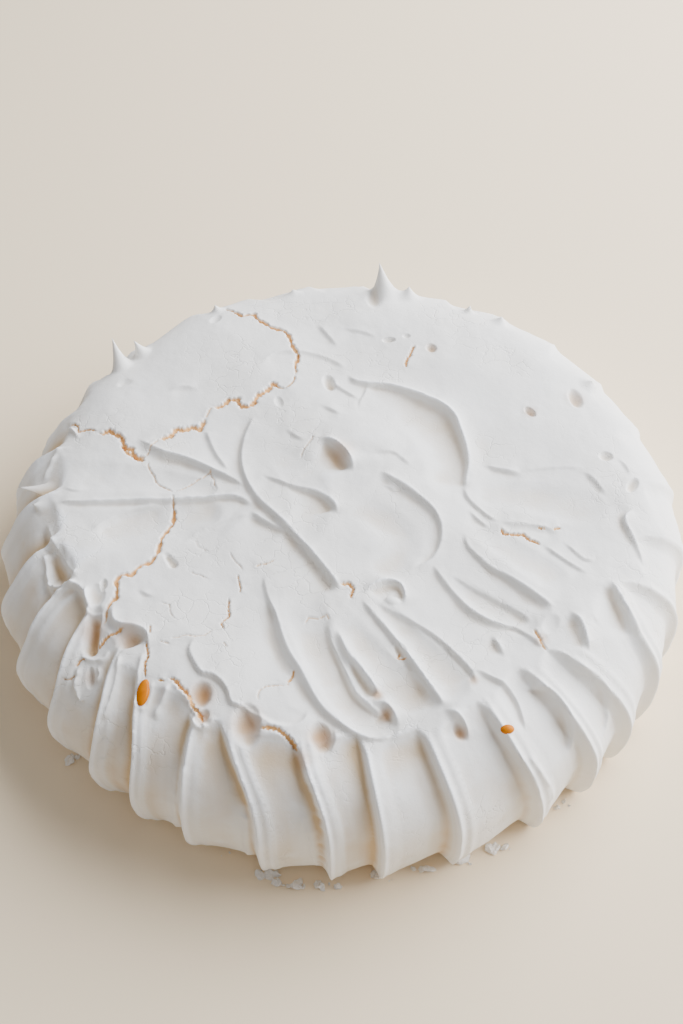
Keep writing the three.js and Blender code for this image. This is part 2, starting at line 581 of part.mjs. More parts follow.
// Joins two fluted rings column by column, so that their crests stay whole
function joinColumns(lower, upper, triangles) {
  lower.forEach((a, i) => {
    const next = (i + 1) % lower.length;
    const [b, c, d] = [lower[next], upper[next], upper[i]];
    if (a.point.distanceTo(c.point) < b.point.distanceTo(d.point)) {
      triangles.push([a.id, b.id, c.id], [a.id, c.id, d.id]);
    } else {
      triangles.push([a.id, b.id, d.id], [b.id, c.id, d.id]);
    }
  });
}

function closeWithFan(ring, centre, upwards, triangles) {
  ring.forEach((vertex, i) => {
    const next = ring[(i + 1) % ring.length].id;
    triangles.push(upwards ? [vertex.id, next, centre.id] : [next, vertex.id, centre.id]);
  });
}

// Pulls the surface round each peak's root towards its tip
function pullPeaks(vertices) {
  for (const [azimuth, radius, reach, spread, out, sideways, up] of PEAKS) {
    const root = atAzimuth(azimuth, radius, topHeight(azimuth, radius));
    const direction = atAzimuth(azimuth + sideways, out, up).normalize();
    const gaps = vertices.map((vertex) => vertex.base.distanceTo(root));
    const tip = vertices[gaps.indexOf(Math.min(...gaps))];
    tip.point.add(root).sub(tip.base); // the tip stands exactly over the root
    vertices.forEach((vertex, i) => {
      const near = vertex === tip ? 1 : clamp(1 - gaps[i] / spread, 0, 1);
      vertex.point.addScaledVector(direction, reach * near ** 2.2);
    });
  }
}

function buildMeringue() {
  const heights = ringHeights();
  const rings = heights.map(flutedRing);
  for (let radius = FLUTED_RADIUS - TOP_SPACING; radius > 0.6 * TOP_SPACING; radius -= TOP_SPACING) {
    rings.push(plainRing(radius));
  }
  const middle = vertexAt(0, onTop(0, 0), null);
  const underside = { azimuth: 0, base: new THREE.Vector3(), point: new THREE.Vector3() };
  const vertices = [...rings.flat(), middle, underside];
  vertices.forEach((vertex, id) => {
    vertex.id = id;
  });
  pullPeaks(vertices);
  const triangles = [];
  for (let i = 1; i < rings.length; i += 1) {
    const join = i < heights.length ? joinColumns : bridge;
    join(rings[i - 1], rings[i], triangles);
  }
  closeWithFan(rings[rings.length - 1], middle, true, triangles);
  closeWithFan(rings[0], underside, false, triangles);
  const geometry = new THREE.BufferGeometry().setFromPoints(vertices.map((vertex) => vertex.point));
  geometry.setIndex(triangles.flat());
  geometry.computeVertexNormals();
  return geometry;
}

const group = new THREE.Group();
const meringue = new THREE.Mesh(buildMeringue(), new THREE.MeshStandardMaterial(MERINGUE));
meringue.name = 'meringue';
group.add(meringue);

export default group;
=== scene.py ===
# %% [markdown]
# # A pavlova's meringue shell
# Whisked egg white and sugar is heaped on baking paper, pushed up all round the side with a palette
# knife, and swirled flat on top. In a slow oven it dries to a thin matt crust that cracks over a soft
# inside. Almost all that the eye sees is relief: one white surface, and the light on its strokes.
# So this script makes one fine mesh from a smooth body, laying on it the flutes, ledges, scoops,
# cracks and peaks one kind after another. Beads of syrup and loose crumbs are added at the end.

import math

import bpy
import numpy as np
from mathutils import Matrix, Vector, noise


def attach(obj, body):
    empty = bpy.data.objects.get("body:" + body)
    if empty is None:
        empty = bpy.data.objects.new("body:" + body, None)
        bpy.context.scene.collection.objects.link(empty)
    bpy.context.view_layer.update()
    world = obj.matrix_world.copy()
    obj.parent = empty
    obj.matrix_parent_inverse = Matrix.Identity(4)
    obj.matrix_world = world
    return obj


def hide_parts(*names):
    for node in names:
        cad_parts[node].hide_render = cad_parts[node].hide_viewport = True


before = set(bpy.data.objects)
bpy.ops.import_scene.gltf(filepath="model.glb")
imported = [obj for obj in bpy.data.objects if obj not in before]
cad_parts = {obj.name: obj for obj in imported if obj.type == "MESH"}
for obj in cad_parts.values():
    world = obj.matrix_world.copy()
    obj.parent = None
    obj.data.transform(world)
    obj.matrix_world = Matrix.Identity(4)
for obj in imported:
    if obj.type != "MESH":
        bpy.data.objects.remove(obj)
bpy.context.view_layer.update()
MM = 0.001

# %% [markdown]
# ## Camera
# The shell lies on a table and is seen from above its front edge, close by, so the lens is a normal
# one and the distance is what gives the strong perspective. Aiming is done with a look-at rotation.

# %% Camera
CAMERA_RISE = 53.3  # degrees above the table
CAMERA_DISTANCE = 516.0
CAMERA_TARGET = (0.4, 15.7, 26.3)
LENS = 50.0


def aim(thing, place, target):
    direction = Vector(target) - Vector(place)
    thing.location = place
    thing.rotation_euler = direction.to_track_quat("-Z", "Y").to_euler()


def add_camera():
    data = bpy.data.cameras.new("camera")
    data.lens = LENS
    data.sensor_width = 36
    camera = bpy.data.objects.new("camera", data)
    bpy.context.scene.collection.objects.link(camera)
    rise = math.radians(CAMERA_RISE)
    x, y, z = (v * MM for v in CAMERA_TARGET)
    reach = CAMERA_DISTANCE * MM
    place = (x, y - reach * math.cos(rise), z + reach * math.sin(rise))
    aim(camera, place, (x, y, z))
    bpy.context.scene.camera = camera
    return camera


camera = add_camera()
print("camera at, mm:", [round(v / MM) for v in camera.location])

# %% [markdown]
# ## The smooth body
# Under the strokes the shell is a low drum with a round shoulder. Its outline isn't a true circle, so
# its radii are given every 30 degrees and joined by a smooth closed curve. The shoulder is part of a
# superellipse, which is squarer than a circle's quarter, and the side tucks in towards the foot.

# %% Body sizes, mm and degrees
TOP_HEIGHT = 55.5
BULGE_HEIGHT = 24.0
SHOULDER = 39.0
FOOT_CURVE = 2.3
TOE_ROUND = 1.5  # the bottom edge is rounded, sideways and upwards
TOE_HEIGHT = 3.6
OUTLINE_STEP = 30
FOOT_RADII = [115, 112.5, 110.5, 112.5, 113.5, 115, 115.5, 113, 111, 111, 111, 113]
BULGE_RADII = [120, 119, 117, 118, 118.5, 119.5, 119, 118, 117, 117, 117, 118.5]
SQUARENESS = [2.5, 2.6, 2.5, 2.4, 2.4, 2.7, 3.2, 3.2, 3.0, 2.8, 2.8, 2.9]


def smooth(low, high, value):
    t = np.clip((value - low) / (high - low), 0, 1)
    return t * t * (3 - 2 * t)


def catmull_rom(a, b, c, d, t):
    """The smooth curve from b to c, which heads for d and comes from a."""
    return b + 0.5 * t * (c - a + t * (2 * a - 5 * b + 4 * c - d + t * (3 * (b - c) + d - a)))


def around(stations, azimuth):
    """Smooth closed curve through stations spaced evenly from -180 degrees."""
    stations = np.asarray(stations, float)
    place = np.mod(np.asarray(azimuth, float) + 180, 360) / OUTLINE_STEP
    first = np.floor(place).astype(int)
    t = place - first
    return catmull_rom(*(stations[(first + k) % len(stations)] for k in (-1, 0, 1, 2)), t)


def side_radius(azimuth, height):
    bulge = around(BULGE_RADII, azimuth)
    power = around(SQUARENESS, azimuth)
    tuck = (bulge - around(FOOT_RADII, azimuth)) * np.clip(1 - height / BULGE_HEIGHT, 0, 1) ** FOOT_CURVE
    toe = TOE_ROUND * np.clip(1 - height / TOE_HEIGHT, 0, 1) ** 2
    rise = np.clip((height - BULGE_HEIGHT) / (TOP_HEIGHT - BULGE_HEIGHT), 0, 1)
    return bulge - tuck - toe - SHOULDER * (1 - (1 - rise ** power) ** (1 / power))


def top_height(azimuth, radius):
    power = around(SQUARENESS, azimuth)
    out = np.clip((radius - around(BULGE_RADII, azimuth) + SHOULDER) / SHOULDER, 0, 1)
    return BULGE_HEIGHT + (TOP_HEIGHT - BULGE_HEIGHT) * (1 - out ** power) ** (1 / power)


def polar(points):
    return np.degrees(np.arctan2(points[:, 1], points[:, 0])), np.hypot(points[:, 0], points[:, 1])


def at_azimuth(azimuth, radius, height):
    angle = np.radians(azimuth)
    flat = np.broadcast_arrays(radius * np.cos(angle), radius * np.sin(angle), height)
    return np.stack([np.asarray(v, float) for v in flat], axis=-1)


def on_top(plan):
    plan = np.asarray(plan, float)
    azimuth, radius = polar(plan)
    return np.column_stack([plan[:, :2], top_height(azimuth, radius)])


def outward(points):
    """Directions square to the body: straight up on the flat top, sideways on the side."""
    azimuth, radius = polar(points)
    reach = 0.4
    fall = top_height(azimuth, radius - reach) - top_height(azimuth, radius + reach)
    from_top = at_azimuth(azimuth, fall, 2 * reach)
    above = side_radius(azimuth, points[:, 2] + reach)
    below = side_radius(azimuth, np.maximum(points[:, 2] - reach, 0))
    from_side = at_azimuth(azimuth, 2 * reach, below - above)
    high = (points[:, 2] > TOP_HEIGHT - 3)[:, None]
    normals = np.where(high, from_top, from_side)
    return normals / np.linalg.norm(normals, axis=1, keepdims=True)


print("widest radius", max(BULGE_RADII), "mm, height", TOP_HEIGHT, "mm")

# %% [markdown]
# ## Ridges and flutes
# Each upward pull of the knife leaves a flute: a broad, nearly flat hollow. Two flutes meet in a ridge
# with a gentle right side and a steep left flank, because every pull pushes the mix against the one
# before. A ridge stands nearly upright on the side and then leans over as it crosses the rim. Each is
# listed by its azimuth at the foot and at the top, how late it leans, and how wide its steep flank is.
# Those round the back follow the same rhythm with a little seeded jitter, as a hand makes them.

# %% Ridge places
RIDGES = [
    (-179, -184, 6, 1.8), (-167, -172, 6, 1.8), (-155, -161, 6, 1.8), (-143.5, -152, 9, 1.8),
    (-132.8, -140.5, 11, 1.6), (-124.2, -133, 9, 1.7), (-114.8, -118.5, 6, 1.8), (-102.3, -113.5, 8, 1.8),
    (-91.4, -98.5, 8, 1.7), (-83.4, -85.5, 6, 1.5), (-71.6, -73.8, 6, 1.6), (-56.5, -60.5, 1.6, 1.6),
    (-46.2, -49, 2, 1.6), (-37.5, -41, 3, 1.8), (-29, -20, 18, 1.8), (-17, -19, 4, 2), (-5.5, -8, 4, 2),
]
LEFT_BACK_RIDGES = [
    (111, 107, 4, 2), (123, 119, 4, 2), (136.5, 133, 5, 2), (147.5, 144, 5, 2), (158, 154, 5, 2),
    (169.5, 164, 5, 2),
]
HIDDEN_FLUTE = 12.6
HIDDEN_LEAN = -4
HIDDEN_POWER = 4
HIDDEN_FLANK = 2.2
# The flutes' depths, and how hollow their plates are, every 30 degrees as the outline.
DEPTH_AT_FOOT = [4.5, 4.5, 4.2, 4.6, 5.0, 5.0, 3.6, 3.0, 3.0, 3.0, 3.0, 4.0]
DEPTH_AT_RIM = [3.2, 3.0, 3.0, 3.6, 3.6, 2.6, 1.1, 0.9, 0.9, 0.9, 1.1, 2.0]
FALL_POWERS = [1.6, 2.0, 2.4, 1.7, 1.3, 1.3, 1.3, 1.3, 1.3, 1.3, 1.3, 1.5]  # from 1, straight, to hollow
FLANK_RISE = 1.3
CREST_ROUND = 0.06
CREST_LIP = 0.6  # a thin lip runs along each crest, height and half width
CREST_LIP_WIDTH = 1.1
SECOND_LIP = 0.7  # and a second, softer one beside it, where the knife's edge pressed
SECOND_LIP_PLACE = 3.6
SECOND_LIP_WIDTH = 1.2
FLUTE_REACH = 102.0
FLUTE_REACHES = {
    0: 95, 1: 91, 2: 91, 3: 90, 4: 92, 5: 90, 6: 92, 7: 91, 8: 89, 9: 90, 10: 89, 11: 86, 12: 88,
    13: 92, 14: 97, 15: 100, 25: 104, 26: 105, 27: 106, 28: 107, 29: 103, 30: 97,
}
FLUTE_ROUND = 11.0


def jitter(index):
    wave = np.sin(np.asarray(index) * 12.9898 + 4.1) * 43758.5453
    return 2 * (wave - np.floor(wave)) - 1


def all_ridges():
    first, last = LEFT_BACK_RIDGES[0][0], RIDGES[-1][0]
    count = round((first - last) / HIDDEN_FLUTE)
    hidden = []
    for i in range(1, count):
        azimuth = last + (first - last) * i / count + 1.6 * float(jitter(i))
        top = azimuth + HIDDEN_LEAN + 1.5 * float(jitter(i + 50))
        hidden.append((azimuth, top, HIDDEN_POWER, HIDDEN_FLANK))
    return np.array(RIDGES + hidden + LEFT_BACK_RIDGES, float)


ridges = all_ridges()
FLUTES = len(ridges)


def ridge_azimuth(index, height):
    lap = np.floor_divide(index, FLUTES)
    foot, top, power, _ = ridges[index - lap * FLUTES].T
    lean = (top - foot) * (np.clip(height, 0, TOP_HEIGHT) / TOP_HEIGHT) ** power
    return foot + 360 * lap + lean


def flute_to_azimuth(flute, height):
    """A flute number with its fraction across gives the azimuth at that height."""
    index = np.floor(flute).astype(int)
    left, right = ridge_azimuth(index, height), ridge_azimuth(index + 1, height)
    return left + (right - left) * (flute - index)


def azimuth_to_flute(azimuth, height):
    azimuth = ridges[0, 1] + np.mod(azimuth - ridges[0, 1], 360)
    flute = np.full(azimuth.shape, np.nan)
    for index in range(-1, FLUTES + 1):
        left = ridge_azimuth(np.full(azimuth.shape, index), height)
        right = ridge_azimuth(np.full(azimuth.shape, index + 1), height)
        inside = (azimuth >= left) & (azimuth < right)
        flute[inside] = (index + (azimuth - left) / (right - left))[inside]
    return np.mod(flute, FLUTES)


print(FLUTES, "flutes")

# %% [markdown]
# ## Paths for the strokes
# Every stroke, ledge and crack follows a path laid on the body. A path is drawn by a few points seen
# from above and rounded by a Catmull-Rom curve, which passes through its points and so is easy to
# steer. For any spot on the body we then want three things: how far it is from the path, on which
# side it lies, and how far along. Only the spots near a path are worked out, to save time.

# %% Path tools
def curve_through(points, per_span):
    points = np.asarray(points, float)
    padded = np.vstack([2 * points[0] - points[1], points, 2 * points[-1] - points[-2]])
    samples = []
    for i in range(len(points) - 1):
        for t in np.arange(per_span) / per_span:
            samples.append(catmull_rom(*padded[i:i + 4], t))
    return np.vstack([samples, points[-1]])


def nearest_on_path(samples, points, normals, margin):
    """Distance, side (positive on the left) and place along (0 to 1) for the points near a path."""
    low, high = samples.min(axis=0) - margin, samples.max(axis=0) + margin
    near = np.flatnonzero(((points > low) & (points < high)).all(axis=1))
    p, n = points[near], normals[near]
    distance = np.full(len(near), np.inf)
    side, along = np.ones(len(near)), np.zeros(len(near))
    steps = np.linalg.norm(np.diff(samples, axis=0), axis=1)
    starts = np.concatenate([[0], np.cumsum(steps)])
    for i, step in enumerate(steps):
        ahead = samples[i + 1] - samples[i]
        gap = p - samples[i]
        t = np.clip(gap @ ahead / step ** 2, 0, 1)
        gap = gap - t[:, None] * ahead
        length = np.linalg.norm(gap, axis=1)
        better = length < distance
        distance[better] = length[better]
        across = np.cross(n[better], ahead)
        side[better] = np.sign((across * gap[better]).sum(axis=1) + 1e-12)
        along[better] = (starts[i] + t[better] * step) / starts[-1]
    return near, distance, side, along


print("path tools ready")

# %% [markdown]
# ## Ledges
# Where one stroke overlaps another there is a ledge: a short steep face, a thin lip above it and a
# shallow hollow below it. Walking along a ledge's path, the lip is on the left. Each entry gives the
# path in plan (x to the right, y to the back), then how much the ledge rises and how wide its face is,
# at stations spread evenly along the path, and last how far the lip and the hollow fade out.

# %% Ledges of the middle swirl, mm
MIDDLE_LEDGES = [
    ([(-31, 37), (-34, 27), (-34.5, 17), (-32.5, 8), (-28.5, 0), (-22, -8), (-15, -16.5), (-8, -26),
      (-3.5, -32.5), (0, -38)], (1.0, 1.8, 2.6, 3.4, 3.8), (1.3, 1.6, 2.2, 3.0, 3.8), 8, 5),
    ([(-31, -5), (-27, -8.5), (-22, -12), (-18, -14.5)], (2.8, 2.4, 1.4), (2.6, 2.2, 1.4), 2.5, 5),
    ([(-27, 9.5), (-22, 7), (-16, 4), (-9, 1.5), (-5, -1.5), (-2, -5), (-1.5, -8.5)], (0.8, 1.5, 2.4, 3.8),
      (0.9, 1.4, 2.2, 3.8), 7, 5),
    ([(13, 9.5), (17, 6.5), (21, 3.5), (25, 0), (29, -4), (32, -8), (33.5, -13), (33, -19), (30, -25),
      (24, -29)], (2.0, 2.8, 2.2, 1.8, 0.8), (3.4, 3.2, 2.2, 1.5, 1.2), 5, 9),
    ([(14, 4.5), (17, 3), (20, 0.5)], (0.8,), (0.9,), 2, 2),
    ([(2.5, 57), (5, 53.3), (10, 51.8), (16, 51), (22, 49), (29, 45.5), (36, 41), (40, 36), (42, 29),
      (43.5, 22), (44, 15), (43, 9), (42.3, 3)], (1.2, 2.8, 3.8, 4.2, 3.4, 1.6),
      (1.4, 2.2, 3.4, 3.6, 2.6, 1.4), 3.5, 14),
    ([(-5, 54.5), (-1, 50.5), (3, 47), (7, 44)], (1.1, 0.9), (1.2,), 3, 5),
    ([(10, 52.5), (8.5, 47), (7, 43), (6.5, 38.5)], (0.9, 0.5), (0.9,), 3, 3),
    ([(-7.5, 40.5), (-4, 38.5), (0.5, 35.5)], (1.0,), (1.1,), 3, 4),
    ([(-19.5, 30.5), (-16, 26.5), (-12, 24)], (0.5, 1.4), (1.4,), 3, 4),
    ([(-8, 24.5), (-4, 23), (0, 19), (3, 14), (4.3, 9.5)], (1.8, 5.4, 6.2, 3.6), (2.4, 4.0, 4.6, 3.0),
      5, 6),
    ([(11, 17.5), (18, 18), (21, 15.5), (25, 11.5)], (0.6,), (0.9,), 3, 4),
    ([(-29, 62), (-24, 66.5), (-18, 68), (-10, 67), (-3, 64), (2, 60)], (0.9,), (2.0,), 6, 8),
    ([(-9, 83), (-5, 77), (-1, 71)], (1.0,), (1.6,), 5, 5),
    ([(0, 80), (8, 78), (14, 75)], (0.6,), (1.2,), 4, 4),
]

# %% Ledges of the left, right and front
LEFT_LEDGES = [
    ([(-72, 27), (-67, 24), (-62, 21), (-55, 18.5), (-48, 15), (-42, 11.5), (-36, 8), (-32.5, 5.5)],
      (1.4, 3.0, 3.2, 2.6, 1.0), (3.5, 3.2, 2.6, 2.0, 1.2), 6, 8),
    ([(-48, 32), (-46, 26), (-43, 19), (-38.5, 12)], (1.1,), (1.8, 1.2), 4, 5),
    ([(-97, 0.5), (-85, 0), (-70, 0.5), (-57, 0.5), (-45, 1.2), (-36, 1), (-29.5, -2.5)],
      (1.5, 2.0, 2.2, 2.2), (1.4,), 8, 9),
    ([(-84, -12.5), (-78, -7), (-72, -3.5), (-66, -1.8), (-60, -0.3)], (1.5,), (3.2,), 8, 7),
    ([(-97, 8), (-92, 5.5), (-87, 5.5)], (0.5,), (0.9,), 3, 3),
    ([(-52, -17), (-45, -12), (-39, -9), (-30, -6)], (0.6,), (1.4,), 5, 5),
    ([(-102, -6), (-98.5, -14), (-94.5, -21), (-90.5, -27), (-86, -31.5)], (2.0, 3.5, 3.0), (3.5, 5.0, 4.0),
      9, 3),
    ([(-66, -36), (-63.5, -38.2), (-60, -39.5)], (1.2,), (1.0,), 2, 2),
    ([(-101, -29), (-96, -32.5), (-90, -33), (-85.5, -35), (-82.7, -40), (-80.5, -46)],
      (1.4, 2.8, 2.4, 1.4), (2.6,), 3, 7),
    ([(-74, -42), (-73.2, -48), (-70, -50.5), (-66, -51.3), (-62, -53.5), (-60.5, -59)], (2.0, 3.6, 2.4),
      (2.0, 3.6, 2.4), 4, 6),
    ([(-46, -55), (-47.7, -59.5), (-46.3, -63.5), (-43.5, -68), (-40, -69.2), (-37, -71.5), (-34.8, -75),
      (-33.3, -79), (-29.5, -80.3), (-26.6, -83.5), (-25.3, -88)], (0.6, 1.5, 1.9, 1.9, 1.6, 1.2, 1.0),
      (1.0, 1.3, 1.3), 5, 5),
    ([(-10, -80), (-11, -84), (-15, -86.5), (-21, -85.5), (-27, -81.5), (-33, -78.5)], (1.0,), (1.6,),
      2.5, 8),
    ([(-24, -41), (-21.5, -45), (-20, -50)], (0.6,), (1.2,), 4, 4),
    ([(-63, 49.5), (-57, 51.5), (-51, 50.5)], (0.9,), (2.2,), 6, 5),
]
RIGHT_LEDGES = [
    ([(49, 14.7), (55, 12.8), (62.8, 11)], (1.1, 1.6), (1.4,), 4, 5),
    ([(62, 12), (72, 13.3), (84, 13)], (0.4,), (1.5,), 5, 6),
    ([(83, 11.7), (86, 9), (89, 4), (90.5, 0.5)], (1.1,), (1.4,), 4, 5),
    ([(96, 18), (98.5, 14.5), (99.7, 9.5)], (0.9,), (1.2,), 3, 3),
    ([(99.5, -4), (95.5, -7.5), (95.5, -11), (97, -15), (98.5, -19), (99.7, -23), (100, -27)],
      (0.5, 2.4, 2.1, 1.1, 1.1), (1.0, 1.6, 1.5, 1.2), 4, 5),
    ([(42, 5), (43, 0), (46, -4), (50, -8), (53.5, -10)], (1.2,), (1.1,), 6, 2),
    ([(43, -5), (46, -9), (50.5, -13)], (1.1,), (1.2,), 2, 4),
    ([(53, -10.5), (60, -11), (67, -12), (74, -14)], (1.2, 1.0), (2.4,), 7, 4),
    ([(67, -19), (71, -23), (76, -27.5), (81, -31.5)], (1.0,), (1.1,), 2.5, 4),
    ([(74, -18), (77, -21.5), (80, -25), (83, -25.5), (84, -23)], (0.8,), (0.9,), 2, 3),
    ([(41.3, -15), (42, -20), (45, -24.5), (49, -29), (54, -32.5), (58, -36), (62, -39.5), (66, -43),
      (69, -45)], (0.9, 1.5, 2.0, 3.0, 2.2), (1.1, 1.3, 1.8, 3.2, 2.4), 7, 7),
    ([(30, -27), (32, -31), (35, -36), (38.5, -41), (42, -45.5), (47, -49), (52, -51), (56, -52),
      (60, -55.5), (65, -60)], (1.0, 1.8, 2.5, 2.2, 1.2, 1.0), (1.4, 1.8, 2.4, 2.0, 1.0, 0.9), 5, 7),
    ([(36, -31.5), (42, -36), (48, -40), (54, -44), (59, -47.5), (61, -50.5)], (0.4, 0.8, 1.0, 2.2),
      (0.9, 1.0, 1.2, 2.4), 4, 4),
    ([(73, -46), (76, -50), (77.3, -55), (78.5, -60.5)], (3.0, 3.5, 2.5), (3.0, 3.4, 2.4), 5, 7),
    ([(80, -46), (83, -51)], (0.8,), (1.6,), 4, 5),
    ([(88, -33), (90, -39), (92.5, -45), (94.3, -52)], (2.5, 2.8, 2.2), (2.3,), 6, 6),
    ([(48, -54), (49.5, -58), (51.7, -63)], (2.2,), (1.6,), 2, 3),
    ([(41, -67.5), (47, -70.5), (51.5, -73), (54.5, -77), (56, -82), (57, -87)], (0.9, 1.8, 1.6, 0.9),
      (1.2, 1.5, 1.0), 4, 5),
    ([(56, -74), (60, -72.3), (65, -73.5), (69, -77.5), (72, -83), (74, -89)], (1.0, 1.9, 2.2, 2.0),
      (1.0, 1.6, 2.2), 4, 5),
    ([(70, -64.5), (75, -65.3), (80, -67), (84, -71), (86.5, -77), (84.5, -82)], (1.0,), (1.8,), 4, 5),
]
FRONT_LEDGES = [
    ([(-25, -31), (-24.5, -36), (-23, -41.5), (-20.8, -47), (-19, -54), (-16.5, -61), (-13, -67),
      (-9.5, -74), (-6, -80), (-1.5, -84.7), (3.5, -88.3), (9, -90.5), (14, -90.3), (17, -87.5)],
      (0.5, 1.2, 3.0, 3.6, 3.2, 2.8, 2.2, 1.8, 1.1), (1.2, 1.8, 4.0, 4.4, 2.8, 2.2, 1.6, 1.3), 8, 5),
    ([(-4.3, -49), (-3, -56), (-0.5, -62), (2, -68), (4.5, -74), (8, -78.5), (11.5, -81.5), (15, -83)],
      (1.0, 2.0, 2.5, 2.4, 1.5), (1.4, 1.8, 1.8, 1.2), 2.2, 4),
    ([(-1.5, -52), (2, -61), (5.5, -66), (9, -71), (12, -76)], (1.1, 2.8, 3.2, 3.0), (1.6, 2.6, 3.2), 6, 3),
    ([(9.5, -78.5), (13.5, -79), (16.3, -82.5), (17.3, -87)], (1.8, 3.2, 2.2), (1.4, 2.4, 1.8), 2.4, 3),
    ([(6.5, -41), (10, -46), (14, -51.5), (18, -57.5), (22, -64), (26, -71), (29, -76), (32, -81)],
      (1.0, 1.8, 2.2, 3.2, 3.6, 2.5), (1.2, 1.5, 2.0, 3.4, 3.6), 5, 6),
    ([(11, -42), (16, -45.5), (22, -49), (28, -53.5), (33, -58.5), (38, -64.5), (41, -69), (41.8, -73)],
      (0.6, 1.1, 1.5, 2.1, 1.8), (1.0, 1.3, 1.6), 5, 7),
    ([(7.5, -39.5), (10.5, -36.5), (15, -34.3), (19, -35.3), (20.7, -39), (20, -43.5)],
      (1.5, 3.2, 3.2, 1.8), (2.2, 3.2, 1.4, 1.0), 2, 4),
    ([(30.5, -81.5), (35, -82.7), (38, -86), (39, -91)], (1.5, 3.2, 2.2), (2.0, 3.6, 2.4), 3, 5),
    ([(-2.3, -86), (-1.6, -91), (-4, -96)], (1.2,), (1.0,), 2, 4),
    ([(46, -84), (50, -89.5), (55, -94), (62, -100)], (0.8,), (0.8,), 1.5, 3),
]
LEDGES = MIDDLE_LEDGES + LEFT_LEDGES + RIGHT_LEDGES + FRONT_LEDGES
LIP_SHARE = 0.52  # the part of a ledge's rise that stands above the body
THIN_LIP = 1.1  # a thin lip stands up over the broad one
THIN_LIP_SHARE = 0.36
FACE_CURVE = 2.2  # a face is concave: steep under its lip, and flat where it runs out
FACE_ABOVE = 0.15  # how far it reaches above and below its line, as shares of its listed width
FACE_BELOW = 0.85
END_TAPER = 4.5

print(len(LEDGES), "ledges")

# %% [markdown]
# ## Ribs, scoops, burst bubbles and pits
# A rib is a thin web or crest that stands on the surface, left where the knife was lifted. A scoop is a
# shallow channel with round ends. Burst bubbles are small bowls: centre, long and short half-width,
# angle, and depth, which is negative for a low bump. Ribs on the side are listed by azimuth and height.

# %% Rib, scoop and dent lists, mm
RIBS = [
    ([(-100, -18), (-99.5, -26), (-98, -32), (-96, -37)], 1.8, 1.2),
    ([(-97.5, -35), (-92, -34.3), (-86.5, -32)], 1.5, 0.9),
    ([(-83.2, -34), (-82.7, -40), (-81.5, -44.5), (-76, -45.3)], 1.2, 0.7),
    ([(-84.5, -59), (-80, -60.7), (-76, -60.5), (-74.3, -57.5)], 1.3, 0.8),
    ([(-84.5, -62), (-85.5, -66.5), (-86, -69.5), (-83.5, -73)], 1.4, 0.9),
    ([(-78.7, -62.5), (-77.4, -66), (-79.3, -69.5)], 1.0, 0.7),
    ([(-53, -71), (-54.5, -75.5), (-58.5, -82.5)], 1.3, 1.3),
    ([(-53, -71.3), (-50, -73.6), (-47, -77), (-45, -80.5), (-43, -84), (-40, -87)], 0.9, 0.7),
    ([(-107, 14), (-103, 21), (-99.5, 28)], 0.8, 1.2),
    ([(-99.5, 36.5), (-96, 34), (-93, 29.5)], 1.3, 0.8),
    ([(-62, -60), (-63.2, -67), (-64.6, -73)], 0.8, 0.9),
    ([(-47.2, -80), (-45.5, -83.5), (-43, -86.3), (-40, -85.3), (-38.5, -82.5)], 1.2, 0.8),
    ([(-69.5, -60), (-70.5, -67), (-72.5, -74), (-75, -81)], 0.8, 0.9),
    ([(-58.5, -69.5), (-58.8, -74), (-60.5, -78.8), (-63.6, -77.5), (-64.2, -72)], 0.7, 0.7),
]
SIDE_RIBS = [
    ([(-58.4, 48), (-57.2, 42), (-55.9, 34), (-55, 24)], 0.6, 0.9),
    ([(-116.6, 48), (-116.6, 34), (-117.6, 20), (-118.4, 5)], 0.9, 1.5),
    ([(-104.9, 40), (-104.9, 28), (-105.2, 6)], 0.9, 1.3),
    ([(-96.4, 44), (-94.6, 30), (-93.6, 6)], 0.6, 0.8),
]
SCOOPS = [
    ([(-12, -42), (-9.5, -52), (-6, -62), (-2, -70), (2, -77), (7, -83), (12, -86)], (7, 6), 1.7),
    ([(2, -50), (8, -59), (15, -69), (21, -76)], (4, 6.5), 1.4),
    ([(15, -46), (22, -55), (30, -66), (34, -73)], (3, 6), 1.3),
    ([(3.5, -64), (6.5, -70), (9, -74.5)], (1.5, 2.4), 1.2),
    ([(-96.5, -17), (-95, -27)], (4, 4.5), 1.4),
    ([(-79.3, -44.5), (-80, -50), (-81, -56.5)], (2.6, 3.0), 4.2),
    ([(-57.8, -22.5), (-55, -26.5)], (1.0, 1.6), 1.5),
    ([(-93, -13), (-78, -12), (-60, -8), (-46, -5)], (10, 6), 1.3),
    ([(-94, 11), (-80, 11), (-62, 9), (-46, 5)], (8, 4), 1.0),
    ([(14, 40), (24, 37), (33, 29), (37, 18), (37, 8)], (9, 8), 1.3),
    ([(-20, -24), (-12, -14), (-10, 0), (-16, 14)], (6, 7), 0.9),
    ([(8, -6), (16, -12), (20, -20), (16, -27)], (6, 7), 1.0),
    ([(46, -12), (56, -22), (68, -32)], (5, 6), 0.9),
    ([(38, -36), (48, -44), (58, -50)], (4, 5), 0.9),
    ([(52, 2), (66, 0), (82, -4)], (6, 8), 0.8),
]
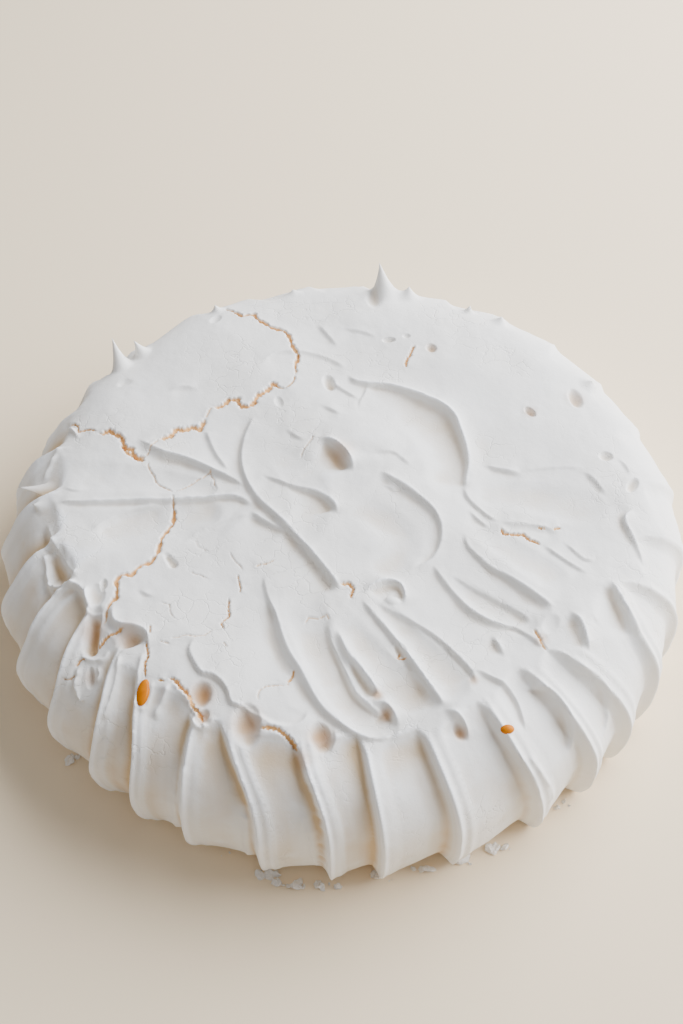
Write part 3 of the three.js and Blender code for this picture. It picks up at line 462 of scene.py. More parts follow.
DENTS = [
    (-4.2, 52.5, 4.2, 2.2, -75, 2.2), (-22, 43, 3, 1.6, -70, 0.8), (11, 24, 13, 7, -15, -1.0),
    (-43, -75.5, 4.8, 3.4, 90, 3.4), (-42, -83, 2.6, 1.8, 60, 1.6), (-28.5, -86, 7.0, 4.6, 90, 3.6),
    (-6, -90, 5.4, 3.4, -80, 3.0), (-81.2, -66.5, 3.8, 1.7, 85, 1.8), (-66, -55.5, 4.5, 2.6, 20, 1.2),
    (-77.3, -34.3, 2.4, 1.3, 90, 1.6), (-79.5, -38.5, 4.6, 3.2, 90, 2.0), (-67.5, -55.5, 4.4, 3.2, 20, 1.8),
    (67.5, 38.3, 2.8, 1.6, -55, 2.2), (84.6, 46, 5.0, 2.6, -80, 2.6), (92.3, 18.3, 2.6, 2.2, 0, 2.0),
    (100, 5.8, 3.8, 1.8, 62, 2.4), (67, -51, 4, 2.6, 60, 0.8), (36.8, -87.5, 3.4, 2.2, -60, 1.4),
    (33.5, 69.2, 2.4, 1.9, -60, 2.0), (18, 73.8, 2.6, 1.4, 0, 1.6), (24.5, 75.5, 1.6, 1.2, 0, 0.8),
    (12.8, 97, 3.2, 6.5, 0, 1.8), (-79, 55, 2, 3, -70, 0.7), (19, -60, 3.2, 1.8, -60, 1.4),
    (-47, 86, 3, 2, 60, 0.8), (17, -41.5, 2.6, 2.0, 0, -0.9),
]

print(len(RIBS) + len(SIDE_RIBS), "ribs,", len(SCOOPS), "scoops and", len(DENTS), "dents")

# %% [markdown]
# ## Cracks
# As the shell cools the crust sinks and splits into plates. The cracks show the darker, caramel
# coloured inside of the crust. Each one is a jagged line: a few points are joined by straight steps,
# and every step is broken again by a seeded random jog. Entries: path, width, depth.

# %% Crack list, mm
CRACKS = [
    ([(-86, 31), (-84, 30.5), (-82, 32), (-80, 30), (-77.5, 29), (-76, 24.5), (-73, 23), (-71.5, 20),
      (-68, 20.5)], 1.9, 2.6),
    ([(-77, 25.5), (-74.5, 21.5), (-71, 19), (-68, 18.5)], 1.5, 2.2),
    ([(-64, 27), (-60, 28.5), (-58, 32), (-55, 31), (-53, 33), (-50, 31.5), (-49, 34), (-48, 37)],
      2.1, 2.6),
    ([(-46, 42), (-42, 42.5), (-40, 45), (-37, 45), (-35.5, 42), (-33, 41.5), (-31, 43), (-29.5, 46.5),
      (-27, 48), (-25, 50.5), (-24.5, 52), (-22, 50), (-20, 49.5)], 1.9, 2.5),
    ([(-44, 94), (-43, 92), (-40, 90), (-37, 87), (-32.5, 88), (-30, 84), (-26, 80.5), (-21, 78.5),
      (-18.5, 74), (-17, 69), (-15.5, 67), (-16.5, 62), (-16.5, 56)], 1.5, 2.3),
    ([(-57.5, 3), (-57, -1), (-56.5, -8), (-58.5, -12), (-60, -17), (-60.5, -21.5), (-62.5, -25.5),
      (-65.5, -26.5), (-68.5, -31), (-72, -30.5), (-73.5, -33), (-72.5, -39.5), (-75, -43), (-76.5, -49)],
      1.5, 2.4),
    ([(-36, -40), (-36, -44), (-35.5, -47), (-38, -50), (-37, -52)], 0.8, 1.8),
    ([(-40.5, -52), (-43, -54.5), (-46, -55), (-49, -54.5), (-54, -55.5)], 0.5, 0.8),
    ([(-36.5, -22), (-34.5, -26), (-32, -29.5)], 0.4, 0.6),
    ([(-33.5, -31), (-33, -34), (-32.5, -38)], 0.7, 1.2),
    ([(-53.5, -69.7), (-50.5, -71.5), (-48, -74.5), (-46, -78), (-43.5, -81.5), (-42, -85)], 1.5, 2.2),
    ([(-60.5, -51), (-60.3, -54)], 0.7, 1.2),
    ([(-61.3, -56), (-60.7, -60), (-61.2, -66), (-61, -69)], 0.9, 1.6),
    ([(-57, -70), (-54.8, -70.6)], 0.8, 1.2),
    ([(-25, -78), (-25, -74.5), (-23, -72.8), (-20, -72.3), (-16.5, -72)], 0.5, 1.0),
    ([(-16.5, -72), (-15, -69), (-14.3, -66)], 0.9, 1.6),
    ([(-24.5, -87.1), (-21.5, -87.2), (-18.9, -87.9), (-16.5, -89.6), (-14.3, -92), (-12.8, -94.5)],
      1.4, 1.8),
    ([(-28, -28), (-24, -26.8), (-21.5, -25)], 0.6, 1.0),
    ([(27.5, 71), (26, 67), (24.5, 64), (24, 60)], 1.2, 2.0),
    ([(53.5, -12), (54.5, -14.7), (58, -15.2), (61, -15), (63, -17.5), (66.5, -19.3)], 1.2, 2.0),
    ([(66, -12.2), (69, -12.6)], 0.8, 1.2),
    ([(71.3, -12.8), (73.8, -12.3)], 1.0, 1.4),
    ([(61.5, -52.5), (63, -56), (65, -60)], 0.9, 1.6),
    ([(-9, 27), (-11.5, 22), (-13.7, 16.5)], 0.5, 0.9),
    ([(0, -35.5), (3, -35.2), (4.2, -37.5), (3.4, -41)], 1.2, 2.0),
    ([(-11.5, -49.5), (-10, -47.5), (-7, -48), (-4.5, -46.8), (-3, -49)], 0.6, 1.0),
    ([(-90.5, -65.5), (-88, -66), (-86.5, -65)], 0.7, 1.2),
    ([(-86, -62.5), (-84.5, -60.3), (-82.5, -60)], 0.8, 1.2),
    ([(-79, -57.8), (-76.8, -55.2), (-74, -52.8), (-71.5, -51.9), (-69, -51)], 1.1, 1.5),
    ([(-58, -42), (-55, -43), (-54.5, -46), (-52, -49)], 0.4, 0.6),
    ([(-49, -29.5), (-46, -31), (-43, -32.5)], 0.4, 0.6),
    ([(-48.5, -16), (-47.5, -19), (-45, -20.5), (-44, -22)], 0.35, 0.6),
    ([(-57, -56.5), (-54, -57.5)], 0.5, 0.8),
    ([(-37, -57), (-35.5, -59)], 0.5, 0.8),
    ([(-67, 18.5), (-66, 14), (-63.6, 9.1), (-60.5, 6.5), (-57.4, 4.2)], 0.6, 1.0),
    ([(-57.4, 4.6), (-54, 6), (-50.5, 8.4), (-47.5, 10.2), (-44.9, 12.9), (-43.5, 9.5), (-42.1, 4.6)],
      0.55, 0.9),
    ([(-48, 37), (-47.2, 39.5), (-46, 42)], 0.7, 1.2),
    ([(-16.5, 56), (-17.2, 52.5), (-20, 49.5)], 0.8, 1.4),
    ([(-68, 20.5), (-66.5, 24), (-64, 27)], 0.6, 1.0),
    ([(-99, 38), (-96.7, 38.2), (-94.5, 36), (-94, 33), (-90.4, 33.4), (-86.5, 32)], 0.9, 1.4),
    ([(19, -60), (18, -62.5), (21, -62.7)], 0.8, 1.2),
]
CRACK_STEP = 2.2
CRACK_JOG = 0.5
CRACK_WIDEN = 1.25  # crumbs that fell in fill the bottom of a crack, and its edges broke off
CRACK_SHALLOW = 0.6
CRACK_TAPER = 8  # a crack narrows over the first and last eighth of its length
CRACK_EDGE = 1.15  # its wall starts this many half widths out, and is this wide
CRACK_WALL = 0.8
CRACK_CURL = 0.4  # the crust curls up beside a crack, and more on its left
CRACK_CURL_REACH = 1.8


def jagged(points, seed):
    """Straight steps about CRACK_STEP long, each pushed sideways by a seeded random jog."""
    draw = np.random.default_rng(seed)
    points = np.asarray(points, float)
    out = [points[0]]
    for a, b in zip(points[:-1], points[1:]):
        length = np.linalg.norm(b - a)
        count = max(1, round(length / CRACK_STEP))
        across = np.array([a[1] - b[1], b[0] - a[0]]) / length
        for k in range(1, count):
            out.append(a + (b - a) * k / count + across * draw.uniform(-CRACK_JOG, CRACK_JOG))
        out.append(b)
    return np.array(out)


crack_lines = [on_top(jagged(path, seed)) for seed, (path, _, _) in enumerate(CRACKS)]
ledge_lines = [on_top(curve_through(path, 4)) for path, *_ in LEDGES]
scoop_lines = [on_top(curve_through(path, 4)) for path, *_ in SCOOPS]
rib_lines = [on_top(curve_through(path, 4)) for path, *_ in RIBS]
for path, *_ in SIDE_RIBS:
    azimuth, height = curve_through(path, 4).T
    rib_lines.append(at_azimuth(azimuth, side_radius(azimuth, height), height))
print(len(CRACKS), "cracks,", sum(len(line) for line in crack_lines), "steps in all")

# %% [markdown]
# ## Peaks
# Lifting the knife draws out a thin peak that dries as it stands. The surface round the peak's root
# is pulled towards its tip, more steeply the nearer it is. Entries: azimuth and radius of the root,
# reach, spread, and its direction: how far out, how many degrees sideways, and how far up.

# %% Peak list
PEAKS = [
    (80.3, 103, 14.5, 8, 0.3, 50, 1), (75.5, 104, 4.5, 7, 0.2, 0, 1), (141, 106, 15, 5.5, 0.15, 0, 1),
    (135.8, 104, 8.5, 4.5, 0.3, 60, 1), (174.6, 105, 11, 4.2, 1, 0, 0.05),
    (179.5, 103.5, 3.5, 4, 1, 0, 0.3), (-162, 100, 3, 4.5, 0.7, 0, 0.6),
    (-139.3, 110, 2.8, 3.2, 0.9, 0, -0.5), (117, 104, 3, 4, 0.2, 0, 1), (62, 104, 3, 3.5, 0.3, 0, 1),
    (55, 105, 2.5, 5, 0.4, 0, 1), (31, 106, 2, 5, 0.5, 0, 1), (100, 104, 1.8, 5, 0.3, 0, 1),
]


def peak_root(azimuth, radius):
    return at_azimuth(azimuth, radius, top_height(azimuth, radius))


peak_roots = [peak_root(np.array(azimuth, float), radius) for azimuth, radius, *_ in PEAKS]
print(len(PEAKS), "peaks, roots from", round(float(min(p[2] for p in peak_roots)), 1), "mm high")

# %% [markdown]
# ## Relief
# All the lists become one height above the smooth body. The kinds simply add up, which is close to
# what happens in soft meringue: a later stroke rides over the shape that an earlier one left.

# %% Relief functions
MOUND_PLACE = (8, 12)
MOUND_SIZE = (48, 52)
MOUND_HEIGHT = 1.6
LEFT_FALL_START = -8.0
LEFT_FALL = 0.042


def stations(values, along):
    """Values given at even stations along a path, read at any place from 0 to 1."""
    return np.interp(along, np.linspace(0, 1, len(values)), values)


def swell(p):
    wide = 0.5 * np.sin(p[:, 0] / 19 + 1.3) * np.cos(p[:, 1] / 23 - 0.4)
    return wide + 0.3 * np.sin(p.sum(axis=1) / 11)


def broad_form(p):
    """The middle swirl stands a little proud, and the top falls slowly to the left."""
    across = np.hypot((p[:, 0] - MOUND_PLACE[0]) / MOUND_SIZE[0], (p[:, 1] - MOUND_PLACE[1]) / MOUND_SIZE[1])
    mound = MOUND_HEIGHT * smooth(1, 0.35, across)
    beyond = np.maximum(LEFT_FALL_START - p[:, 0], 0)
    return mound - LEFT_FALL * beyond ** 2 / (beyond + 25)


def path_length(line):
    return np.linalg.norm(np.diff(line, axis=0), axis=1).sum()


def ledge_relief(points, normals):
    relief = np.zeros(len(points))
    for line, (_, rises, faces, back, foot) in zip(ledge_lines, LEDGES):
        near, distance, side, along = nearest_on_path(line, points, normals, 20)
        to_end = np.minimum(along, 1 - along) * path_length(line)
        rise = stations(rises, along) * smooth(0, END_TAPER, to_end)
        above, below = (share * stations(faces, along) for share in (FACE_ABOVE, FACE_BELOW))
        place = side * distance
        climb = np.clip((place + below) / (above + below), 0, 1) ** FACE_CURVE
        behind = np.maximum(place - above, 0)
        lip = (1 - THIN_LIP_SHARE) * np.exp(-behind / back) + THIN_LIP_SHARE * np.exp(-behind / THIN_LIP)
        hollow = np.exp(-np.maximum(-place - below, 0) / foot)
        relief[near] += rise * (LIP_SHARE * climb * lip - (1 - LIP_SHARE) * (1 - climb) * hollow)
    return relief


def rib_relief(points, normals):
    relief = np.zeros(len(points))
    for line, (_, height, width) in zip(rib_lines, RIBS + SIDE_RIBS):
        near, distance, _, along = nearest_on_path(line, points, normals, 6)
        to_end = np.minimum(along, 1 - along) * path_length(line)
        relief[near] += height * smooth(0, 3, to_end) * np.exp(-np.abs(distance / width) ** 1.5)
    return relief


def scoop_relief(points, normals):
    relief = np.zeros(len(points))
    for line, (_, (start, end), deep) in zip(scoop_lines, SCOOPS):
        near, distance, _, along = nearest_on_path(line, points, normals, 14)
        wide = start + (end - start) * along
        relief[near] -= deep * smooth(-0.2, 0.3, along) * np.clip(1 - (distance / wide) ** 2, 0, 1)
    return relief


def dent_relief(points):
    relief = np.zeros(len(points))
    for x, y, long, short, angle, depth in DENTS:
        turn = math.radians(angle)
        dx, dy = points[:, 0] - x, points[:, 1] - y
        along = (dx * math.cos(turn) + dy * math.sin(turn)) / long
        across = (dy * math.cos(turn) - dx * math.sin(turn)) / short
        relief -= depth * np.clip(1 - along ** 2 - across ** 2, 0, 1)
    return relief


def crack_relief(points, normals):
    """Relief of the cracks, and how deep inside a crack each point lies (0 to 1)."""
    relief, inside = np.zeros(len(points)), np.zeros(len(points))
    for seed, (line, (_, width, depth)) in enumerate(zip(crack_lines, CRACKS)):
        near, distance, side, along = nearest_on_path(line, points, normals, 6)
        taper = np.sqrt(np.clip(np.minimum(along, 1 - along) * CRACK_TAPER, 0, 1))
        uneven = 0.75 + 0.45 * np.sin(along * 37 + seed) * np.sin(along * 91 + 2 * seed)
        half = CRACK_WIDEN * 0.5 * width * taper * uneven + 0.05
        cut = smooth(0, CRACK_WALL, CRACK_EDGE - distance / half)
        curl = CRACK_CURL * np.exp(-distance / CRACK_CURL_REACH) * np.where(side > 0, 1, 0.2)
        relief[near] += taper * (curl * min(1, width) - CRACK_SHALLOW * depth * cut)
        inside[near] = np.maximum(inside[near], taper * cut * min(1, width))
    return relief, inside


def flute_relief(flute, radius, height):
    """A plate that falls slowly from its left crest and climbs a short steep flank to the next."""
    index = np.floor(flute).astype(int)
    across = flute - index
    width = ridge_azimuth(index + 1, height) - ridge_azimuth(index, height)
    valley = np.clip(1 - ridges[(index + 1) % FLUTES, 3] / width, 0.5, 0.95)
    azimuth = ridge_azimuth(index, height) + across * width
    fall = 1 - np.clip(1 - across / valley, 0, 1) ** around(FALL_POWERS, azimuth)
    climb = 1 - np.clip((across - valley) / (1 - valley), 0, 1) ** FLANK_RISE
    hollow = np.minimum(fall, climb)
    hollow = np.sqrt(hollow ** 2 + CREST_ROUND ** 2) - CREST_ROUND
    reaches = [FLUTE_REACHES.get(i, FLUTE_REACH + 1.5 * float(jitter(i + 9))) for i in range(FLUTES)]
    reach = np.array(reaches)[index]
    end = np.where(height > BULGE_HEIGHT, np.clip(1 - (radius - reach) / FLUTE_ROUND, 0, 2), 0) ** 3
    up = np.clip(height / TOP_HEIGHT, 0, 1)
    deep = around(DEPTH_AT_FOOT, azimuth) * (1 - up) + around(DEPTH_AT_RIM, azimuth) * up
    beside = across * np.radians(width) * radius
    to_crest = np.minimum(across, 1 - across) * np.radians(width) * radius
    lip = CREST_LIP * np.exp(-(to_crest / CREST_LIP_WIDTH) ** 2)
    second_place = SECOND_LIP_PLACE * (1 + 0.25 * jitter(index + 80))
    second = SECOND_LIP * (0.6 + 0.4 * jitter(index + 70))
    lip += second * np.exp(-((beside - second_place) / SECOND_LIP_WIDTH) ** 2)
    lip *= np.clip(1 - 2 * end, 0, 1) * np.minimum(1, deep / 3)
    return lip - deep * (1 + 0.12 * jitter(index + 30)) * np.clip(hollow - end, 0, 1)


print("relief functions ready")

# %% [markdown]
# ## The fine mesh
# Fine triangles are needed only where something happens: along ridges, ledges and cracks, and on the
# sides that are seen most. So the mesh starts as coarse rings round the body and then splits every
# edge that is longer than the size wanted there. Splitting a triangle's edges one, two or three at a
# time keeps the mesh closed, and each new point is put back on the smooth body.

# %% Coarse rings
COLUMNS_PER_FLUTE = 6
SIDE_ROWS = 15
TOP_SPACING = 4.0
FLUTED_RADIUS = 93.0


def ring_heights():
    profile = (1 - np.cos(np.linspace(0, math.pi, 401))) / 2 * TOP_HEIGHT
    radius = side_radius(-90.0, profile)
    profile, radius = profile[radius > FLUTED_RADIUS], radius[radius > FLUTED_RADIUS]
    lengths = np.concatenate([[0], np.cumsum(np.hypot(np.diff(radius), np.diff(profile)))])
    return np.interp(np.linspace(0, lengths[-1], SIDE_ROWS + 1), lengths, profile)


def coarse_rings():
    """Rings of (flute number, height) on the side, then of (x, y) on the top."""
    rings = []
    for height in ring_heights():
        flute = np.arange(FLUTES * COLUMNS_PER_FLUTE) / COLUMNS_PER_FLUTE
        azimuth = flute_to_azimuth(flute, height)
        rings.append((azimuth, at_azimuth(azimuth, side_radius(azimuth, height), height), flute))
    for radius in np.arange(FLUTED_RADIUS - TOP_SPACING, 0.6 * TOP_SPACING, -TOP_SPACING):
        count = max(6, round(2 * math.pi * radius / TOP_SPACING))
        azimuth = ridges[0, 1] + 360 * (np.arange(count) + 0.5 * (round(radius) % 2)) / count
        points = on_top(at_azimuth(azimuth, radius, 0.0))
        rings.append((azimuth, points, azimuth_to_flute(azimuth, points[:, 2])))
    return rings


def bridge(lower, upper, low_id, high_id):
    """Triangles between two closed rings of any counts, always taking the shorter step round."""
    def turn(ring, i):
        return ring[i % len(ring)] + 360 * (i // len(ring))
    triangles, a, b = [], 0, 0
    while turn(upper, b + 1) <= turn(lower, 0):
        b += 1
    start = b
    while a < len(lower) or b < start + len(upper):
        lower_next = turn(lower, a) + turn(lower, a + 1)
        upper_next = turn(upper, b) + turn(upper, b + 1)
        low, high = low_id + a % len(lower), high_id + b % len(upper)
        if a < len(lower) and (b >= start + len(upper) or lower_next <= upper_next):
            triangles.append((low, low_id + (a + 1) % len(lower), high))
            a += 1
        else:
            triangles.append((low, high_id + (b + 1) % len(upper), high))
            b += 1
    return triangles


def join_columns(lower, upper, low_id, high_id):
    """Triangles between two fluted rings, column by column, so that the crests stay whole."""
    i = np.arange(len(lower))
    n = np.mod(i + 1, len(lower))
    a, b, c, d = low_id + i, low_id + n, high_id + n, high_id + i
    short = np.linalg.norm(lower - upper[n], axis=1) < np.linalg.norm(lower[n] - upper, axis=1)
    first, second = np.where(short, [a, b, c], [a, b, d]), np.where(short, [a, c, d], [b, c, d])
    return [tuple(corners) for corners in np.hstack([first, second]).T]


def coarse_mesh():
    rings = coarse_rings()
    points = np.vstack([ring[1] for ring in rings] + [[(0, 0, TOP_HEIGHT)]])
    flute = np.concatenate([ring[2] for ring in rings] + [[0.0]])
    starts = np.concatenate([[0], np.cumsum([len(ring[0]) for ring in rings])])
    triangles = []
    for i in range(len(rings) - 1):
        if i < SIDE_ROWS:
            triangles += join_columns(rings[i][1], rings[i + 1][1], starts[i], starts[i + 1])
        else:
            triangles += bridge(rings[i][0], rings[i + 1][0], starts[i], starts[i + 1])
    last = len(rings[-1][0])
    triangles += [(starts[-2] + k, starts[-2] + (k + 1) % last, starts[-1]) for k in range(last)]
    return points, flute, np.array(triangles)


points, flute, triangles = coarse_mesh()
print("coarse mesh:", len(triangles), "triangles")

# %% [markdown]
# ### Wanted size
# The wanted edge length grows with the distance to the nearest line of interest, so the change from
# fine to coarse is gradual and no line slips between two far apart points.

# %% Splitting edges
FINEST = 0.35
FINEST_CRACK = 0.43
FINEST_LINE = 0.55
FINEST_RIDGE = 0.85
COARSEST = 2.8
COARSER_BEHIND = 1.8
SPLIT_ABOVE = 1.4


def graded(finest, rate, beyond):
    """The finest size, which grows at a rate with the distance beyond the place that needs it."""
    return finest + rate * np.maximum(beyond, 0)


def wanted_size(points, flute):
    normals = outward(points)
    size = np.full(len(points), COARSEST)
    for line in crack_lines:
        near, distance, _, _ = nearest_on_path(line, points, normals, 8)
        size[near] = np.minimum(size[near], graded(FINEST_CRACK, 0.45, distance - 0.8))
    for line, (_, _, faces, _, _) in zip(ledge_lines, LEDGES):
        near, distance, _, along = nearest_on_path(line, points, normals, 9)
        to_edge = np.abs(distance - FACE_ABOVE * stations(faces, along))
        size[near] = np.minimum(size[near], graded(FINEST_LINE, 0.3, to_edge - 0.5))
    for line, (_, _, width) in zip(rib_lines, RIBS + SIDE_RIBS):
        near, distance, _, _ = nearest_on_path(line, points, normals, 6)
        size[near] = np.minimum(size[near], graded(0.5, 0.4, distance - 1.2 * width))
    for line, (_, wide, _) in zip(scoop_lines, SCOOPS):
        near, distance, _, _ = nearest_on_path(line, points, normals, 10)
        size[near] = np.minimum(size[near], graded(0.3 * wide[1], 0.3, distance - wide[1]))
    for x, y, long, short, _, _ in DENTS:
        gap = np.hypot(points[:, 0] - x, points[:, 1] - y) - long
        size = np.minimum(size, graded(0.22 * short, 0.25, gap))
    for root in peak_roots:
        gap = np.linalg.norm(points - root, axis=1)
        size = np.minimum(size, graded(0.3, 0.22, gap))
    index = np.floor(flute).astype(int)
    across = flute - index
    radius = polar(points)[1]
    width = np.radians(ridge_azimuth(index + 1, points[:, 2]) - ridge_azimuth(index, points[:, 2])) * radius
    flank = np.radians(ridges[(index + 1) % FLUTES, 3]) * radius
    to_crest = np.minimum(across, 1 - across) * width
    to_groove = np.abs((1 - across) * width - flank)
    ridge_size = np.minimum(graded(FINEST_RIDGE, 0.25, to_crest - 1.4), graded(1.2, 0.35, to_groove - 0.8))
    size = np.minimum(size, graded(1.4, 0.4, points[:, 2] - TOE_HEIGHT))
    size = np.where(radius > FLUTED_RADIUS - 6, np.minimum(size, ridge_size), size)
    back = smooth(-40, 60, points[:, 1]) * smooth(54, 46, points[:, 2])
    return np.maximum(size, FINEST) * (1 + COARSER_BEHIND * back)


def put_on_body(middle, flute_a, flute_b):
    """Puts chord middles back on the smooth body, and gives their flute numbers."""
    height = middle[:, 2]
    gap = flute_b - flute_a
    gap = gap - FLUTES * np.round(gap / FLUTES)
    flute = np.mod(flute_a + 0.5 * gap, FLUTES)
    high = height > TOP_HEIGHT - 1.5
    azimuth = flute_to_azimuth(flute, height)
    side = at_azimuth(azimuth, side_radius(azimuth, height), height)
    top = on_top(middle)
    placed = np.where(high[:, None], top, side)
    flute[high] = azimuth_to_flute(polar(top[high])[0], top[high, 2])
    return placed, flute


def split_once(points, flute, size, triangles):
    edges = np.sort(triangles[:, [[0, 1], [1, 2], [2, 0]]].reshape(-1, 2), axis=1)
    unique, inverse = np.unique(edges, axis=0, return_inverse=True)
    inverse = inverse.reshape(-1, 3)
    a, b = unique.T
    length = np.linalg.norm(points[a] - points[b], axis=1)
    marked = length > SPLIT_ABOVE * np.minimum(size[a], size[b])
    longest = inverse[np.arange(len(triangles)), length[inverse].argmax(axis=1)]
    for _ in range(3):
        touched = marked[inverse].any(axis=1)
        marked[longest[touched]] = True
    if not marked.any():
        return points, flute, size, triangles, False
    number = np.full(len(unique), -1)
    number[marked] = len(points) + np.arange(marked.sum())
    new, new_flute = put_on_body((points[a] + points[b])[marked] / 2, flute[a[marked]], flute[b[marked]])
    points = np.vstack([points, new])
    flute = np.concatenate([flute, new_flute])
    size = np.concatenate([size, wanted_size(new, new_flute)])
    return points, flute, size, split_triangles(triangles, number[inverse]), True


def split_triangles(triangles, middles):
    """Each triangle becomes one to four, by which of its edges have a middle point."""
    count = (middles >= 0).sum(axis=1)
    out = [triangles[count == 0]]
    for k in (0, 1, 2):
        turn = [k, (k + 1) % 3, (k + 2) % 3]
        a, b, c = triangles[:, turn].T
        ab, bc, ca = middles[:, turn].T
        one = (count == 1) & (ab >= 0)
        out += [np.column_stack([a, ab, c])[one], np.column_stack([ab, b, c])[one]]
        two = (count == 2) & (ca < 0)
        out += [np.column_stack([ab, b, bc])[two], np.column_stack([a, ab, bc])[two],
                np.column_stack([a, bc, c])[two]]
    a, b, c = triangles[count == 3].T
    ab, bc, ca = middles[count == 3].T
    out += [np.column_stack(t) for t in ((a, ab, ca), (ab, b, bc), (ca, bc, c), (ab, bc, ca))]
    return np.vstack(out)


size = wanted_size(points, flute)
growing = True
while growing:
    points, flute, size, triangles, growing = split_once(points, flute, size, triangles)
print("fine mesh:", len(triangles), "triangles,", len(points), "points")

# %% [markdown]
# ### Laying the relief on
# The mesh is now moved outwards along the body's directions. Near the foot it only moves sideways, so
# that the underside stays flat on the table. Small irregularities that no list holds are added as
# noise: soft dimples everywhere, and a rough torn flank beside one ridge.
#
# Two more values are kept at each point for its colour. One is how far it lies below the mean of the
# relief round it: hollows get a painted creamy shade from it, and edges a painted white highlight. The
# mean spreads from point to point at an even rate over the surface, however coarse the mesh is there.
# The other is how strongly a few deep pockets are painted brown, as painted shade.

# %% Displaced surface
TORN_FLUTE = 7  # its right edge tore as the knife came off
SHADED_POCKETS = [  # deep pockets painted brown as painted shade: x, y, size, strength
    (11.4, -75.8, 1.9, 0.75), (14.0, -82.0, 2.0, 0.75), (36.9, -88.2, 2.2, 0.7), (41.3, -71.5, 1.5, 0.6),
    (-28.5, -86, 5.0, 0.6), (-43, -75.5, 4.2, 0.75), (-42, -83, 2.4, 0.6), (-6, -90, 3.8, 0.75),
    (-12, -97, 3.2, 0.5),
    (-81.2, -66.5, 2.6, 0.35), (63.5, -56.5, 2.2, 0.45), (0, 17.5, 4.6, 0.45), (-68, -53.8, 4.0, 0.5),
    (-80.2, -50.5, 4.8, 0.55), (67.5, 38.3, 2.4, 0.4), (84.6, 46, 3.6, 0.35), (33.5, 69.2, 2.0, 0.4),
]
UPPER_PART = (24, 42)  # the heights over which the top's relief sets in, and the side's
LOWER_PART = (2, 12)
DIMPLES = [(14.0, 0.45, 5), (6.0, 0.18, 1), (2.2, 0.08, 2)]  # size, depth and seed of each layer
TORN_LAYERS = [(1.3, 0.35, 3), (3.0, 0.7, 4)]
PEAK_REACH = 0.96  # the finest tips are brittle and break off a little short
HOLLOW_ROUNDS = 40
HOLLOW_SPACING = 2.0  # where points lie further apart than this, the mean spreads no further
# painted shade: how much of each flute's hollow is painted as shaded hollow, most on the front left
FLUTE_SHADE_SHARE = [2.2, 1.6, 2.1, 1.6, 0.6, 0.3, 0.3, 0.3, 0.3, 0.3, 0.3, 1.6]  # how much flutes count as hollows


def noise_at(points, scale, seed):
    offset = Vector((seed * 7.3, seed * 3.1, seed * 5.7))
    return np.array([noise.noise(Vector(p) / scale + offset) for p in points])


def layered_noise(points, layers):
    return sum(depth * noise_at(points, size, seed) for size, depth, seed in layers)


def surface_from(points, flute):
    normals = outward(points)
    height = points[:, 2]
    radius = polar(points)[1]
    cracks, inside = crack_relief(points, normals)
    high = smooth(*UPPER_PART, height)
    low = smooth(*LOWER_PART, height)
    top = swell(points) + broad_form(points) + ledge_relief(points, normals)
    top = top + scoop_relief(points, normals) + dent_relief(points)
    flutes = flute_relief(flute, radius, height)
    index = np.floor(flute).astype(int)
    across = flute - index
    fluted = smooth(54.6, 50, height)
    streak = 0.10 * np.sin(across * 31 + 5 * jitter(index)) * np.sin(across * 17 + index)
    torn = (index == TORN_FLUTE) * smooth(0.76, 0.86, across) * (1 - smooth(0.97, 1, across))
    ragged = layered_noise(points, TORN_LAYERS)
    dimple = layered_noise(points, DIMPLES)
    uneven = 1 + 0.5 * noise_at(points, 2.6, 6)
    relief = top * high + 0.5 * low * swell(points) + flutes + cracks * high
    relief += low * (uneven * rib_relief(points, normals) + fluted * (streak + torn * ragged) + dimple)
    flat = normals * (1, 1, 0)
    flat = flat / np.maximum(np.linalg.norm(flat, axis=1, keepdims=True), 1e-9)
    direction = np.where((height < LOWER_PART[1])[:, None], flat, normals)
    # painted shade: flutes count into the hollow measure by azimuth, so their plates get painted shade there
    flute_shade_share = around(FLUTE_SHADE_SHARE, polar(points)[0])
    local = relief - broad_form(points) * high - (1 - flute_shade_share) * flutes
    return points + direction * relief[:, None], inside, local


def pull_peaks(base, shape):
    for root, (azimuth, _, reach, spread, out, sideways, up) in zip(peak_roots, PEAKS):
        direction = at_azimuth(azimuth + sideways, out, up)
        direction = direction / np.linalg.norm(direction)
        gap = np.linalg.norm(base - root, axis=1)
        near = np.clip(1 - gap / spread, 0, 1) ** 2.2
        near[gap.argmin()] = 1
        shape = shape + near[:, None] * PEAK_REACH * reach * direction
    return shape


def hollow_of(points, relief, triangles):
    """How far each point lies below the mean of the relief around it, mm."""
    edges = np.unique(np.sort(triangles[:, [[0, 1], [1, 2], [2, 0]]].reshape(-1, 2), axis=1), axis=0)
    a, b = edges.T
    count = np.bincount(edges.ravel(), minlength=len(relief))
    length = np.linalg.norm(points[a] - points[b], axis=1)
    spacing = (np.bincount(a, length, len(relief)) + np.bincount(b, length, len(relief))) / count
    rate = 0.5 * np.minimum(1, (HOLLOW_SPACING / spacing) ** 2)
    level = relief
    for _ in range(HOLLOW_ROUNDS):
        total = np.bincount(a, level[b], len(relief)) + np.bincount(b, level[a], len(relief))
        level = level + rate * (total / count - level)
    return level - relief


def pocket_shade_at(points):
    """How strongly each point is painted brown as shade in a deep pocket, 0 to 1."""
    pocket_shade = np.zeros(len(points))
    for x, y, size, strength in SHADED_POCKETS:
        gap = np.hypot(points[:, 0] - x, points[:, 1] - y)
        pocket_shade = np.maximum(pocket_shade, strength * np.exp(-(gap / size) ** 3))
    return pocket_shade * smooth(*UPPER_PART, points[:, 2])


